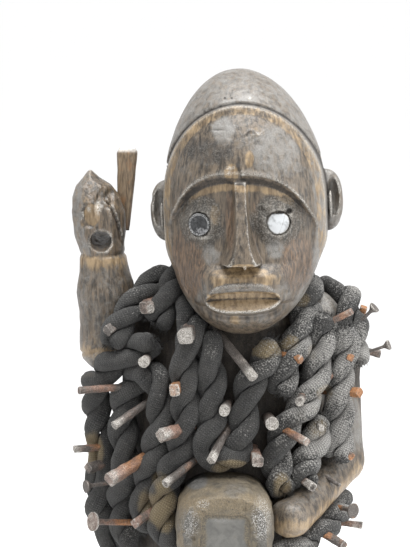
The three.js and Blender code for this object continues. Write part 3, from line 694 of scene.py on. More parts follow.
def spline(points, step):
    """A smooth line through the points, with a point at every step along it."""
    p = np.asarray(points, float)
    p = np.vstack([2 * p[0] - p[1], p, 2 * p[-1] - p[-2]])
    knots = np.concatenate([[0], np.cumsum(np.linalg.norm(np.diff(p, axis=0), axis=1) ** 0.5)])
    pieces = []
    for i in range(1, len(p) - 2):
        t = np.linspace(knots[i], knots[i + 1], 16, endpoint=False)[:, None]
        t0, t1, t2, t3 = knots[i - 1:i + 3]
        a1 = p[i - 1] + (p[i] - p[i - 1]) * (t - t0) / (t1 - t0)
        a2 = p[i] + (p[i + 1] - p[i]) * (t - t1) / (t2 - t1)
        a3 = p[i + 1] + (p[i + 2] - p[i + 1]) * (t - t2) / (t3 - t2)
        b1 = a1 + (a2 - a1) * (t - t0) / (t2 - t0)
        b2 = a2 + (a3 - a2) * (t - t1) / (t3 - t1)
        pieces.append(b1 + (b2 - b1) * (t - t1) / (t2 - t1))
    fine = np.vstack(pieces + [p[-2:-1]])
    along = np.concatenate([[0], np.cumsum(np.linalg.norm(np.diff(fine, axis=0), axis=1))])
    count = max(2, int(round(along[-1] / step)))
    at = np.linspace(0, along[-1], count + 1)
    return np.stack([np.interp(at, along, fine[:, axis]) for axis in range(3)], axis=-1)


def unit(v):
    return v / np.maximum(np.linalg.norm(v, axis=-1, keepdims=True), 1e-9)


def tangents(line):
    return unit(np.gradient(line, axis=0))


def smoothed(values, rounds):
    for _ in range(rounds):
        middle = 0.25 * values[:-2] + 0.5 * values[1:-1] + 0.25 * values[2:]
        values = np.concatenate([values[:1], middle, values[-1:]])
    return values


def packet_field(p):
    x = (p[:, 0] - PACKET_MIDDLE[0]) / PACKET_HALF[0]
    z = (p[:, 2] - PACKET_MIDDLE[1]) / PACKET_HALF[1]
    g = (np.abs(x) ** 2.7 + np.abs(z) ** 2.7) ** (1 / 2.7) + 1e-6
    side = np.hypot(p[:, 0] - PACKET_MIDDLE[0], p[:, 2] - PACKET_MIDDLE[1]) * (1 - 1 / g)
    return np.maximum(side, np.maximum(PACKET_FRONT - p[:, 1], p[:, 1] - PACKET_BACK))


def solid_field(p):
    """What the ropes lie against."""
    return np.minimum(carving_field(p), packet_field(p))


def twisted(points, phase, pitch):
    """The middle lines of the two strands of a rope, as beads."""
    line = spline(points, BEAD_STEP)
    _, out = slope(solid_field, line, 1.0)
    along = tangents(line)
    out = smoothed(unit(out), 12)
    out = unit(out - np.sum(out * along, axis=1, keepdims=True) * along)
    across = np.cross(along, out)
    turn = math.radians(phase) + math.tau * BEAD_STEP * np.arange(len(line)) / pitch
    strands = []
    for side in (0, math.pi):
        angle = (turn + side)[:, None]
        strands.append(line + STRAND_OFFSET * (np.cos(angle) * out + np.sin(angle) * across))
    return strands


def settled(strands, rounds=36):
    """The strands pushed apart until they lie against each other and the carving."""
    sizes = [len(strand) for strand in strands]
    owner = np.repeat(np.arange(len(strands)), sizes)
    order = np.concatenate([np.arange(size) for size in sizes])
    beads = np.vstack(strands)
    start = beads.copy()
    inner = (order > 0) & (order < np.repeat(sizes, sizes) - 1)
    rope = np.repeat(np.arange(len(strands)) // 2, sizes)
    apart = np.where(rope[:, None] == rope[None], 2 * STRAND_OFFSET, STRAND_APART).astype(np.float32)
    away = 3.2 * STRAND_RADIUS / BEAD_STEP
    for _ in range(rounds):
        span = beads[:, None, :] - beads[None, :, :]
        gap = np.sqrt(np.sum(span.astype(np.float32) ** 2, axis=2))
        same = (owner[:, None] == owner[None]) & (np.abs(order[:, None] - order[None]) < away)
        i, j = np.nonzero((gap < apart) & ~same)
        push = span[i, j] / np.maximum(gap[i, j], 0.5)[:, None] * (apart[i, j] - gap[i, j])[:, None] * 0.16
        for axis in range(3):
            beads[:, axis] += np.clip(np.bincount(i, push[:, axis], len(beads)), -1, 1)
        here, change = slope(solid_field, beads, 0.5)
        lift = np.clip(STRAND_RADIUS * 0.86 - here, 0, 2)
        beads += unit(change) * lift[:, None] * 0.5
        middle = 0.5 * (np.roll(beads, 1, axis=0) + np.roll(beads, -1, axis=0))
        beads[inner] += 0.22 * (middle - beads)[inner] + 0.05 * (start - beads)[inner]
    return np.split(beads, np.cumsum(sizes)[:-1])


def turned_frames(line):
    """Two directions across a line that don't spin along it."""
    along = tangents(line)
    side = np.empty_like(line)
    first = np.cross(along[0], (0.3, 1.0, 0.2))
    side[0] = unit(first)
    for i in range(1, len(line)):
        moved = side[i - 1] - (side[i - 1] @ along[i]) * along[i]
        side[i] = moved / np.linalg.norm(moved)
    return side, np.cross(along, side)


def strand_surface(line, others, seed):
    """Rings round a strand, pressed flat where another strand or the carving is close."""
    side, across = turned_frames(line)
    angle = math.tau * np.arange(RING_SIDES) / RING_SIDES
    way = np.cos(angle)[None, :, None] * side[:, None] + np.sin(angle)[None, :, None] * across[:, None]
    length = RING_STEP * np.arange(len(line))
    lumps = layered(np.repeat(line, RING_SIDES, axis=0) + way.reshape(-1, 3) * 5, 9, seed, 3)
    folds = np.sin(3 * angle[None] + length[:, None] / 8 + 2.5 * noise(line, 14, seed)[:, None])
    creases = np.abs(np.sin(2 * angle[None] - length[:, None] / 13 + 3 * noise(line, 11, seed + 3)[:, None]))
    swell = 1 + 0.1 * noise(line, 24, seed + 5)[:, None]
    rough = 0.06 * lumps.reshape(len(line), -1) + 0.04 * folds - 0.11 * (1 - creases) ** 7
    reach = STRAND_RADIUS * swell * (1 + rough)
    span = others[None] - line[:, None]
    gap = np.linalg.norm(span, axis=2)
    nearest = np.argsort(gap, axis=1)[:, :10]
    for k in range(nearest.shape[1]):
        found = nearest[:, k]
        rows = np.arange(len(line))
        far = gap[rows, found]
        toward = span[rows, found] / np.maximum(far, 1e-6)[:, None]
        facing = np.sum(way * toward[:, None], axis=2)
        allowed = np.where(facing > 0.12, (far[:, None] / 2 - STRAND_GAP) / np.maximum(facing, 0.12), 99)
        allowed = np.where(far[:, None] < 2.4 * STRAND_RADIUS, allowed, 99)
        reach = soft_min(reach, np.maximum(allowed, 1.0), 0.9)
    places = line[:, None] + way * reach[:, :, None]
    flat = places.reshape(-1, 3)
    here, change = slope(solid_field, flat, 0.3)
    sunk = here < 0.25
    flat[sunk] += unit(change[sunk]) * np.minimum(0.25 - here[sunk], 4)[:, None]
    return flat.reshape(places.shape)


def tube_faces(rings, first):
    """The quads of a tube of rings, with the places round and along it in millimetres."""
    ring = np.arange(RING_SIDES)
    quads, uvs = [], []
    around = 2 * math.pi * STRAND_RADIUS / RING_SIDES
    for i in range(rings - 1):
        a = first + i * RING_SIDES
        nxt = (ring + 1) % RING_SIDES
        quads.append(np.stack([a + ring, a + nxt, a + RING_SIDES + nxt, a + RING_SIDES + ring], axis=1))
        u0, u1, v0, v1 = ring * around, (ring + 1) * around, i * RING_STEP, (i + 1) * RING_STEP
        corner = [np.stack([u, np.full(RING_SIDES, v)], axis=1) for u, v in ((u0, v0), (u1, v0), (u1, v1), (u0, v1))]
        uvs.append(np.stack(corner, axis=1))
    return np.concatenate(quads), np.concatenate(uvs).reshape(-1, 2)


def fibres(place, way, count, seed, spread=5.0, length=(1.2, 4.0), thick=0.3):
    """Loose threads standing out of a cut end, each a thin bent spike."""
    rng = np.random.default_rng(seed)
    side = unit(np.cross(way, (0.31, 0.22, 0.9)))
    across = np.cross(way, side)
    places, faces = [], []
    for _ in range(count):
        angle, far = rng.uniform(0, math.tau), spread * math.sqrt(rng.uniform(0, 1))
        root = place + far * (math.cos(angle) * side + math.sin(angle) * across)
        lean = unit(way + 0.75 * far / spread * (math.cos(angle) * side + math.sin(angle) * across)
                    + rng.normal(0, 0.3, 3))
        bend = rng.normal(0, 0.5, 3)
        long = rng.uniform(*length)
        first = len(places)
        for t, size in ((0, 1.0), (0.5, 0.8)):
            middle = root + lean * long * t + bend * long * t * t * 0.5
            for corner in range(3):
                a = corner * math.tau / 3
                places.append(middle + thick * size * (math.cos(a) * side + math.sin(a) * across))
        places.append(root + lean * long + bend * long * 0.5)
        for corner in range(3):
            nxt = (corner + 1) % 3
            faces.append([first + corner, first + nxt, first + 3 + nxt])
            faces.append([first + corner, first + 3 + nxt, first + 3 + corner])
            faces.append([first + 3 + corner, first + 3 + nxt, first + 6])
        faces.append([first + 2, first + 1, first])
    return np.array(places), np.array(faces)


ROPE_TWIST = {}


def rope_mesh(name, lines, others, seed):
    places, quads, uvs, caps = [], [], [], []
    count = 0
    for k, line in enumerate(lines):
        rest = np.vstack([others, lines[1 - k]])
        surface = strand_surface(line, rest, seed + 7 * k)
        for end, inward in ((0, 1), (-1, -1)):
            for step, scale in ((0, 0.5), (1, 0.86), (2, 0.97)):
                row = end + inward * step
                surface[row] = line[row] + (surface[row] - line[row]) * scale
        faces, uv = tube_faces(len(line), count)
        places.append(surface.reshape(-1, 3))
        quads.append(faces)
        uvs.append(uv)
        top = count + len(line) * RING_SIDES
        ring = np.arange(RING_SIDES)
        nxt = (ring + 1) % RING_SIDES
        along = tangents(line)
        places.append(np.array([line[0] - along[0] * 0.8, line[-1] + along[-1] * 0.8]))
        last = count + (len(line) - 1) * RING_SIDES
        caps.append(np.stack([count + nxt, count + ring, np.full(RING_SIDES, top)], axis=1))
        caps.append(np.stack([last + ring, last + nxt, np.full(RING_SIDES, top + 1)], axis=1))
        count = top + 2
        for end, way in ((0, -along[0]), (-1, along[-1])):
            threads, sides = fibres(line[end], way, 34, seed * 10 + k * 2 + end)
            places.append(threads)
            caps.append(sides + count)
            count += len(threads)
    caps = np.concatenate(caps)
    uvs.append(np.zeros((caps.size, 2)))
    return make_mesh(name, np.vstack(places), [np.concatenate(quads), caps], np.concatenate(uvs))


def make_ropes():
    names = list(ROPES)
    strands = []
    for name in names:
        phase, pitch = ROPE_TWIST.get(name, (0, ROPE_PITCH))
        strands += twisted(ROPES[name], phase, pitch)
    strands = settled(strands, 36)
    lines = [spline(strand[::2], RING_STEP) for strand in strands]
    pieces = []
    material = rope_material()
    for i, name in enumerate(names):
        own = lines[2 * i:2 * i + 2]
        low = np.min([line.min(0) for line in own], axis=0) - 15
        high = np.max([line.max(0) for line in own], axis=0) + 15
        foreign = np.vstack([line[::2] for j, line in enumerate(lines) if j // 2 != i])
        foreign = foreign[np.all((foreign > low) & (foreign < high), axis=1)]
        piece = rope_mesh(name + "_cloth", own, foreign, 20 + i)
        rope_tones(piece.data)
        pieces.append(finished(piece, "rope_cloth", material, name))
    return pieces


# Materials


class Paint:
    """A procedural material while it is being built. Sizes are in millimetres."""

    def __init__(self, name):
        self.material = bpy.data.materials.new(name)
        self.material.use_nodes = True
        self.tree = self.material.node_tree
        self.shader = self.tree.nodes["Principled BSDF"]
        self.place = self.add("ShaderNodeTexCoord").outputs["Object"]

    def add(self, kind, **settings):
        node = self.tree.nodes.new(kind)
        for key, value in settings.items():
            setattr(node, key, value)
        return node

    def set(self, socket, value):
        if isinstance(value, bpy.types.NodeSocket):
            self.tree.links.new(value, socket)
        elif isinstance(value, tuple) and len(value) == 3 and socket.type == "RGBA":
            socket.default_value = (*value, 1)
        else:
            socket.default_value = value

    def math(self, operation, a, b=0.0, c=0.0):
        node = self.add("ShaderNodeMath", operation=operation)
        for socket, value in zip(node.inputs, (a, b, c)):
            self.set(socket, value)
        return node.outputs[0]

    def scaled(self, size, stretch=(1, 1, 1)):
        node = self.add("ShaderNodeMapping")
        self.set(node.inputs["Vector"], self.place)
        node.inputs["Scale"].default_value = [1 / (MM * size * s) for s in stretch]
        return node.outputs[0]

    def noise(self, size, detail=3.0, stretch=(1, 1, 1), rough=0.55, warp=0.0):
        node = self.add("ShaderNodeTexNoise")
        self.set(node.inputs["Vector"], self.scaled(size, stretch))
        node.inputs["Scale"].default_value = 1.0
        node.inputs["Detail"].default_value = detail
        node.inputs["Roughness"].default_value = rough
        node.inputs["Distortion"].default_value = warp
        return node.outputs[0]

    def cells(self, size, stretch=(1, 1, 1), feature="F1"):
        node = self.add("ShaderNodeTexVoronoi", feature=feature)
        self.set(node.inputs["Vector"], self.scaled(size, stretch))
        node.inputs["Scale"].default_value = 1.0
        return node.outputs["Distance"]

    def ramp(self, value, low, high, start=0.0, end=1.0):
        node = self.add("ShaderNodeMapRange", interpolation_type="SMOOTHSTEP")
        self.set(node.inputs["Value"], value)
        for key, number in (("From Min", low), ("From Max", high), ("To Min", start), ("To Max", end)):
            node.inputs[key].default_value = number
        return node.outputs[0]

    def mix(self, factor, a, b, blend="MIX"):
        node = self.add("ShaderNodeMix", data_type="RGBA", blend_type=blend)
        self.set(node.inputs["Factor"], factor)
        self.set(node.inputs[6], a)
        self.set(node.inputs[7], b)
        return node.outputs[2]

    def masks(self, name):
        node = self.add("ShaderNodeAttribute", attribute_name=name)
        split = self.add("ShaderNodeSeparateColor")
        self.set(split.inputs[0], node.outputs["Color"])
        return split.outputs[0], split.outputs[1], split.outputs[2]

    def times(self, a, b):
        return self.math("MULTIPLY", a, b)

    def plus(self, a, b):
        return self.math("ADD", a, b)

    def finish(self, colour, roughness, height=None, depth=0.3, strength=1.0):
        self.set(self.shader.inputs["Base Color"], colour)
        self.set(self.shader.inputs["Roughness"], roughness)
        if height is not None:
            bump = self.add("ShaderNodeBump")
            bump.inputs["Strength"].default_value = strength
            bump.inputs["Distance"].default_value = depth * MM
            self.set(bump.inputs["Height"], height)
            self.set(self.shader.inputs["Normal"], bump.outputs[0])
        return self.material


def wood_material():
    """Dark carved wood: grey from wear with painted sheen, tan where it is rubbed, crusted with resin, reddish in the
    grain, with painted shade and painted highlights.
    """
    paint = Paint("carved wood")
    worn_and_sheen, tan, crust = paint.masks("tones")
    red, dark, painted_highlight = paint.masks("grain_shade_and_highlight")
    patchy = paint.noise(6, 5, rough=0.62, warp=0.8)
    other = paint.noise(4, 5, (1.2, 1.2, 2), rough=0.62, warp=0.6)
    streak = paint.noise(2.6, 4, (1, 1, 5), rough=0.62)
    grain = paint.noise(0.9, 3, (1, 1, 10), rough=0.6)
    fine = paint.noise(0.8, 3, rough=0.7)
    specks = paint.ramp(paint.noise(1.1, 3, rough=0.75), 0.47, 0.56)

    def spreading(mask, by, low=0.35, high=0.85, width=1.5):
        """A mask whose border is broken up by a noise."""
        broken = paint.plus(mask, paint.times(paint.plus(by, -0.5), width))
        return paint.times(paint.ramp(broken, low, high), paint.ramp(mask, 0.0, 0.12))

    colour = paint.mix(paint.ramp(streak, 0.36, 0.64), (0.022, 0.017, 0.012), (0.108, 0.083, 0.058))
    colour = paint.mix(paint.times(paint.ramp(grain, 0.5, 0.7), 0.5), colour, (0.165, 0.13, 0.095))
    grey = paint.mix(paint.ramp(fine, 0.3, 0.7), (0.125, 0.12, 0.112), (0.20, 0.193, 0.18))
    # Grey from wear, with painted sheen on the sides of the head, on the fist and on the forearm's top.
    colour = paint.mix(paint.times(spreading(worn_and_sheen, patchy, 0.2, 1.15, 1.7), 0.92), colour, grey)
    rubbed = paint.mix(paint.ramp(streak, 0.35, 0.65), (0.125, 0.083, 0.043), (0.285, 0.205, 0.115))
    colour = paint.mix(paint.times(spreading(tan, other), 0.9), colour, rubbed)
    brown = paint.mix(paint.ramp(grain, 0.36, 0.68), (0.036, 0.026, 0.019), (0.150, 0.092, 0.054))
    colour = paint.mix(paint.times(spreading(red, streak, 0.3, 0.9), 0.75), colour, brown)
    resin = paint.mix(specks, (0.042, 0.038, 0.033), (0.175, 0.166, 0.148))
    crusted = spreading(crust, other, 0.3, 0.75, 1.8)
    colour = paint.mix(paint.times(crusted, 0.65), colour, resin)
    # Dark resin patches, with painted shade in creases, bevels and grooves.
    shade = spreading(dark, fine, 0.2, 0.9, 0.9)
    colour = paint.mix(paint.times(shade, 0.9), colour, (0.016, 0.013, 0.011))
    # Painted highlights on edges and ridges.
    colour = paint.mix(paint.times(painted_highlight, paint.ramp(fine, 0.38, 0.6)), colour, (0.46, 0.44, 0.40))
    height = paint.plus(paint.times(grain, 0.4), paint.times(fine, 0.35))
    height = paint.plus(height, paint.times(patchy, 1.2))
    height = paint.plus(height, paint.times(paint.times(crusted, specks), 1.1))
    rough = paint.plus(0.30, paint.times(other, 0.24))
    rough = paint.plus(rough, paint.plus(paint.times(crusted, 0.2), paint.times(shade, 0.35)))
    return paint.finish(colour, rough, height, 0.45, 0.8)


def rope_material():
    """Knitted cloth, nearly black, with pale dust, brown stains and painted shade close to the carving and in creases.
    """
    paint = Paint("rope cloth")
    dust, stain, dark = paint.masks("tones")
    uv = paint.add("ShaderNodeUVMap")
    split = paint.add("ShaderNodeSeparateXYZ")
    paint.set(split.inputs[0], uv.outputs[0])
    column = paint.math("FRACT", paint.math("DIVIDE", split.outputs[0], 1.55))
    leg = paint.math("ABSOLUTE", paint.math("SUBTRACT", column, 0.5))
    row = paint.plus(paint.math("DIVIDE", split.outputs[1], 1.25), paint.times(leg, 1.3))
    wave = paint.math("SINE", paint.times(row, math.tau))
    stitch = paint.plus(paint.times(wave, 0.5), 0.5)
    stitch = paint.times(stitch, paint.ramp(leg, 0.5, 0.36))
    patchy = paint.noise(7, 3, warp=0.5)
    speck = paint.noise(1.2, 3, rough=0.75)
    colour = paint.mix(paint.ramp(patchy, 0.3, 0.7), (0.016, 0.016, 0.016), (0.032, 0.031, 0.029))
    colour = paint.mix(paint.times(stitch, paint.ramp(speck, 0.3, 0.7)), colour, (0.085, 0.084, 0.081))
    stain_here = paint.ramp(paint.plus(stain, paint.times(patchy, 0.5)), 0.5, 1.0)
    colour = paint.mix(paint.times(stain_here, 0.75), colour, paint.mix(stitch, (0.13, 0.095, 0.05), (0.27, 0.215, 0.125)))
    dust_here = paint.ramp(paint.plus(dust, paint.times(speck, 1.5)), 1.14, 1.42)
    dust_here = paint.times(dust_here, paint.plus(0.25, paint.times(stitch, 0.75)))
    colour = paint.mix(dust_here, colour, (0.36, 0.35, 0.33))
    # Painted shade close to the carving and in creases.
    colour = paint.mix(dark, colour, (0.012, 0.012, 0.012))
    height = paint.plus(paint.times(stitch, 1.0), paint.times(patchy, 0.6))
    paint.shader.inputs["Sheen Weight"].default_value = 0.08
    paint.shader.inputs["Sheen Roughness"].default_value = 0.6
    paint.shader.inputs["Specular IOR Level"].default_value = 0.25
    return paint.finish(colour, 0.92, height, 0.45, 1.0)


def iron_material():
    """Rusted iron: dark grey under pink-brown rust, pale corrosion and orange stains."""
    paint = Paint("rusty iron")
    rust, pale, orange = paint.masks("tones")
    patchy = paint.noise(3.2, 4, warp=0.8)
    fine = paint.noise(0.8, 3, rough=0.65)
    colour = paint.mix(paint.ramp(fine, 0.35, 0.65), (0.045, 0.038, 0.033), (0.125, 0.11, 0.10))
    rust_here = paint.ramp(paint.plus(rust, paint.times(patchy, 0.7)), 0.55, 1.05)
    colour = paint.mix(rust_here, colour, paint.mix(paint.ramp(fine, 0.35, 0.65), (0.12, 0.062, 0.042), (0.28, 0.175, 0.13)))
    orange_here = paint.ramp(paint.plus(orange, paint.times(patchy, 0.5)), 0.55, 1.0)
    colour = paint.mix(orange_here, colour, paint.mix(paint.ramp(fine, 0.3, 0.7), (0.20, 0.08, 0.028), (0.38, 0.19, 0.085)))
    pale_here = paint.ramp(paint.plus(pale, paint.times(patchy, 0.6)), 0.58, 1.05)
    colour = paint.mix(pale_here, colour, paint.mix(paint.ramp(fine, 0.35, 0.65), (0.18, 0.165, 0.145), (0.44, 0.42, 0.39)))
    pits = paint.ramp(paint.noise(0.55, 2, rough=0.7), 0.36, 0.46)
    colour = paint.mix(pits, (0.045, 0.032, 0.026), colour)
    paint.shader.inputs["Metallic"].default_value = 0.15
    height = paint.plus(paint.times(fine, 0.8), paint.times(pits, 0.6))
    return paint.finish(colour, paint.plus(0.42, paint.times(patchy, 0.35)), height, 0.25, 0.9)


def resin_material():
    """The packet's crust of resin and earth."""
    paint = Paint("packed resin")
    tan, grey, grit = paint.masks("tones")
    broad = paint.noise(11, 4, warp=0.5)
    patchy = paint.noise(4, 4, warp=0.8)
    fine = paint.noise(0.9, 3, rough=0.65)
    colour = paint.mix(paint.ramp(patchy, 0.35, 0.65), (0.040, 0.035, 0.027), (0.098, 0.083, 0.058))
    tan_here = paint.ramp(paint.plus(tan, paint.times(broad, 0.9)), 0.6, 1.25)
    colour = paint.mix(tan_here, colour, paint.mix(paint.ramp(fine, 0.3, 0.7), (0.078, 0.060, 0.036), (0.168, 0.130, 0.078)))
    grey_here = paint.ramp(paint.plus(grey, paint.times(patchy, 0.5)), 0.5, 0.95)
    colour = paint.mix(grey_here, colour, paint.mix(paint.ramp(fine, 0.3, 0.7), (0.040, 0.039, 0.036), (0.105, 0.102, 0.095)))
    speck = paint.ramp(paint.noise(0.7, 2, rough=0.75), 0.5, 0.62)
    colour = paint.mix(paint.times(grit, speck), colour, (0.44, 0.43, 0.41))
    pits = paint.ramp(paint.cells(2.4), 0.05, 0.22)
    colour = paint.mix(pits, (0.05, 0.042, 0.033), colour)
    height = paint.plus(paint.times(fine, 0.9), paint.plus(paint.times(pits, 0.8), paint.times(patchy, 1.5)))
    return paint.finish(colour, paint.plus(0.45, paint.times(patchy, 0.3)), height, 0.5, 1.0)


def haft_material():
    """Plain brown wood with its grain along the stub."""
    paint = Paint("haft wood")
    edge, tip, dark = paint.masks("tones")
    grain = paint.noise(0.9, 3, (1, 1, 14))
    patchy = paint.noise(6, 3, (1, 1, 2.2), warp=0.4)
    colour = paint.mix(paint.ramp(grain, 0.35, 0.65), (0.085, 0.058, 0.034), (0.215, 0.155, 0.095))
    colour = paint.mix(paint.times(paint.ramp(patchy, 0.52, 0.7), 0.7), colour, (0.22, 0.115, 0.05))
    colour = paint.mix(paint.times(edge, paint.ramp(patchy, 0.3, 0.6)), colour, (0.09, 0.08, 0.07))
    colour = paint.mix(tip, colour, (0.50, 0.48, 0.45))
    colour = paint.mix(dark, colour, (0.04, 0.03, 0.025))
    return paint.finish(colour, 0.55, grain, 0.25, 0.8)


def plate_material():
    """A clouded plate, dull grey with a paler bloom."""
    paint = Paint("clouded plate")
    bloom, edge, dirt = paint.masks("tones")
    patchy = paint.noise(7, 4, warp=0.6)
    fine = paint.noise(0.9, 3)
    colour = paint.mix(paint.ramp(patchy, 0.35, 0.65), (0.068, 0.066, 0.060), (0.105, 0.102, 0.093))
    colour = paint.mix(paint.times(bloom, paint.ramp(fine, 0.2, 0.7)), colour, (0.185, 0.182, 0.172))
    crust = paint.mix(paint.ramp(fine, 0.3, 0.7), (0.045, 0.039, 0.029), (0.120, 0.098, 0.064))
    colour = paint.mix(paint.ramp(paint.plus(dirt, paint.times(patchy, 0.9)), 0.6, 1.15), colour, crust)
    colour = paint.mix(edge, colour, (0.060, 0.051, 0.038))
    return paint.finish(colour, paint.plus(0.22, paint.times(patchy, 0.3)), fine, 0.08, 0.6)


def eye_glass_material():
    """Dark glass in a pale rubbed ring, with pale smears and painted glints."""
    paint = Paint("eye glass")
    ring, smear_and_glint, _ = paint.masks("tones")
    patchy = paint.noise(2.2, 3, warp=0.8)
    fine = paint.noise(0.7, 2, rough=0.7)
    colour = paint.mix(paint.ramp(patchy, 0.4, 0.65), (0.010, 0.011, 0.012), (0.032, 0.033, 0.035))
    # Pale smears, with painted glints.
    colour = paint.mix(paint.ramp(paint.plus(smear_and_glint, paint.times(patchy, 0.8)), 0.75, 1.1), colour, (0.19, 0.19, 0.195))
    colour = paint.mix(paint.times(ring, paint.ramp(fine, 0.42, 0.6)), colour, (0.26, 0.26, 0.26))
    return paint.finish(colour, paint.plus(0.12, paint.times(ring, 0.5)), fine, 0.15, 0.5)


def eye_white_reflection_material():
    """A painted white reflection on the inlay, with grey clouds and a few dark cracks."""
    paint = Paint("eye white reflection")
    grime, _, _ = paint.masks("tones")
    patchy = paint.noise(4, 3, warp=0.8)
    fine = paint.noise(0.8, 3)
    # The inlay's white is a painted reflection.
    colour = paint.mix(paint.ramp(patchy, 0.42, 0.7), (0.43, 0.445, 0.455), (0.25, 0.26, 0.265))
    colour = paint.mix(paint.ramp(paint.plus(grime, paint.times(patchy, 0.6)), 0.6, 1.05), colour, (0.15, 0.14, 0.125))
    return paint.finish(colour, 0.34, fine, 0.1, 0.4)


# Stage, lights and camera


def add_camera():
    view = bpy.data.cameras.new("camera")
    view.lens = SENSOR * CAMERA_DISTANCE / FRAME_TALL
    view.sensor_width = SENSOR
    view.clip_start, view.clip_end = 0.05, 200
    camera = bpy.data.objects.new("camera", view)
    back = Vector((0, -math.cos(CAMERA_ELEVATION), math.sin(CAMERA_ELEVATION)))
    camera.location = AIM + back * CAMERA_DISTANCE
    camera.rotation_euler = (-back).to_track_quat("-Z", "Y").to_euler()
    bpy.context.scene.collection.objects.link(camera)
    bpy.context.scene.camera = camera


def add_light(name, place, size, watts, aim=(0, 0, 0.45)):
    lamp = bpy.data.lights.new(name, "AREA")
    lamp.shape = "RECTANGLE"
    lamp.size, lamp.size_y = size
    lamp.energy = watts
    light = bpy.data.objects.new(name, lamp)
    light.location = place
    light.rotation_euler = (Vector(aim) - Vector(place)).to_track_quat("-Z", "Y").to_euler()
    bpy.context.scene.collection.objects.link(light)


def add_stage():
    scene = bpy.context.scene
    scene.view_settings.view_transform = "Standard"
    world = bpy.data.worlds.new("studio")
    world.use_nodes = True
    world.node_tree.nodes["Background"].inputs["Color"].default_value = (1, 1, 1, 1)
    world.node_tree.nodes["Background"].inputs["Strength"].default_value = 0.78
    scene.world = world
    scene.view_settings.exposure = 0.46
    add_light("top softbox", (0.1, -0.35, 1.9), (1.2, 1.0), 34)
    add_light("right softbox", (1.5, -0.5, 1.0), (0.6, 1.4), 12)
    around = 96
    rim = [(60 / MM * math.cos(math.tau * i / around), 60 / MM * math.sin(math.tau * i / around), 0)
           for i in range(around)]
    floor = make_mesh("floor", np.array(rim), np.arange(around)[None, :], smooth=False)
    material = bpy.data.materials.new("pale floor")
    material.use_nodes = True
    shader = material.node_tree.nodes["Principled BSDF"]
    shader.inputs["Base Color"].default_value = (0.93, 0.93, 0.93, 1)
    shader.inputs["Roughness"].default_value = 0.9
    floor.data.materials.append(material)


# Where each finish, painted shade and painted highlight lies

PHOTO_MIDDLE = (205.0, 273.5)
PHOTO_SCALE = 0.66

# The dark spots are dark resin, with painted shade under the nose and in carved lines; the bright spots are painted
# highlights.
FACE_MARKS = {
    "tan": [
        (-5.0, 105.5, 4.6, 6.0, 0.9), (6.5, 113.0, 3.0, 6.5, 0.7), (10.5, 129.5, 5.0, 3.6, 0.5),
        (-5.5, 155.0, 7.0, 8.0, 0.3), (-16.5, 78.5, 3.6, 6.5, 1.0), (0.8, 47.8, 9.0, 2.4, 1.1),
        (-2.0, 44.0, 16.0, 2.2, 0.7), (0.0, 38.5, 25.0, 6.5, 0.75), (-6.6, 11.7, 4.5, 3.5, 0.7),
        (-28.0, 62.0, 6.0, 4.0, 0.5), (30.0, 88.0, 8.0, 3.0, 0.5), (0.0, 26.0, 21.0, 7.0, 0.8),
    ],
    "worn_and_sheen": [
        (-10.0, 132.0, 7.0, 8.0, 0.7), (-20.4, 54.3, 6.0, 6.0, 0.7), (20.4, 56.3, 6.0, 6.0, 0.7),
        (22.0, 118.0, 16.0, 16.0, 0.5), (0.0, 14.0, 17.0, 8.0, 0.35), (30.0, 30.0, 9.0, 12.0, 0.4),
        (-30.0, 30.0, 8.0, 10.0, 0.35),
    ],
    "crust": [
        (-20.0, 118.0, 18.0, 9.0, 0.5), (-26.0, 73.0, 16.0, 15.0, 0.85), (22.5, 74.0, 17.0, 15.5, 0.9),
        (21.5, 84.0, 9.0, 5.0, 0.5), (-24.0, 86.0, 12.0, 5.0, 0.4),
    ],
    "red": [
        (-36.0, 47.0, 12.0, 24.0, 1.0), (34.0, 46.0, 11.0, 20.0, 0.85), (-7.0, 76.0, 3.4, 20.0, 0.9),
        (9.0, 76.0, 3.0, 18.0, 0.5), (0.0, 22.0, 22.0, 5.0, 0.35), (-30.0, 97.0, 14.0, 5.0, 0.4),
    ],
    "dark": [
        (-20.0, 119.0, 20.0, 9.0, 0.55), (0.4, 80.0, 1.9, 16.0, 0.4), (44.9, 76.7, 3.5, 4.0, 0.35),
        (-2.0, 43.0, 15.0, 1.3, 0.5), (29.6, 79.6, 2.0, 1.8, 1.0), (-8.8, 150.8, 1.0, 0.8, 0.9),
        (-4.4, 150.7, 1.0, 0.8, 0.9), (-24.8, 125.7, 0.5, 4.0, 0.7), (-13.1, 131.7, 3.5, 0.5, 0.7),
        (-30.0, 92.0, 15.0, 4.0, 0.3),
    ],
    "painted_highlight": [
        (6.9, 150.3, 0.9, 0.9, 1.2), (12.0, 128.5, 4.0, 0.7, 0.5), (-26.0, 65.0, 7.0, 1.2, 0.6),
        (-5.5, 108.5, 3.0, 0.9, 0.6),
    ],
}


def shown_at(p):
    """Where places show in the photograph, in its pixels."""
    rise = p[:, 2] - AIM[2] / MM
    c, s = math.cos(CAMERA_ELEVATION), math.sin(CAMERA_ELEVATION)
    away = CAMERA_DISTANCE / MM + p[:, 1] * c - rise * s
    scale = PHOTO_SCALE * away / (CAMERA_DISTANCE / MM)
    across = PHOTO_MIDDLE[0] + (p[:, 0] - AIM[0] / MM) / scale
    return across, PHOTO_MIDDLE[1] - (p[:, 1] * s + rise * c) / scale


def marks(channel, u, w):
    total = 0
    for centre_u, centre_w, half_u, half_w, amount in FACE_MARKS[channel]:
        total = total + amount * spot(u, w, (centre_u, centre_w), (half_u, half_w), 0.4)
    return total


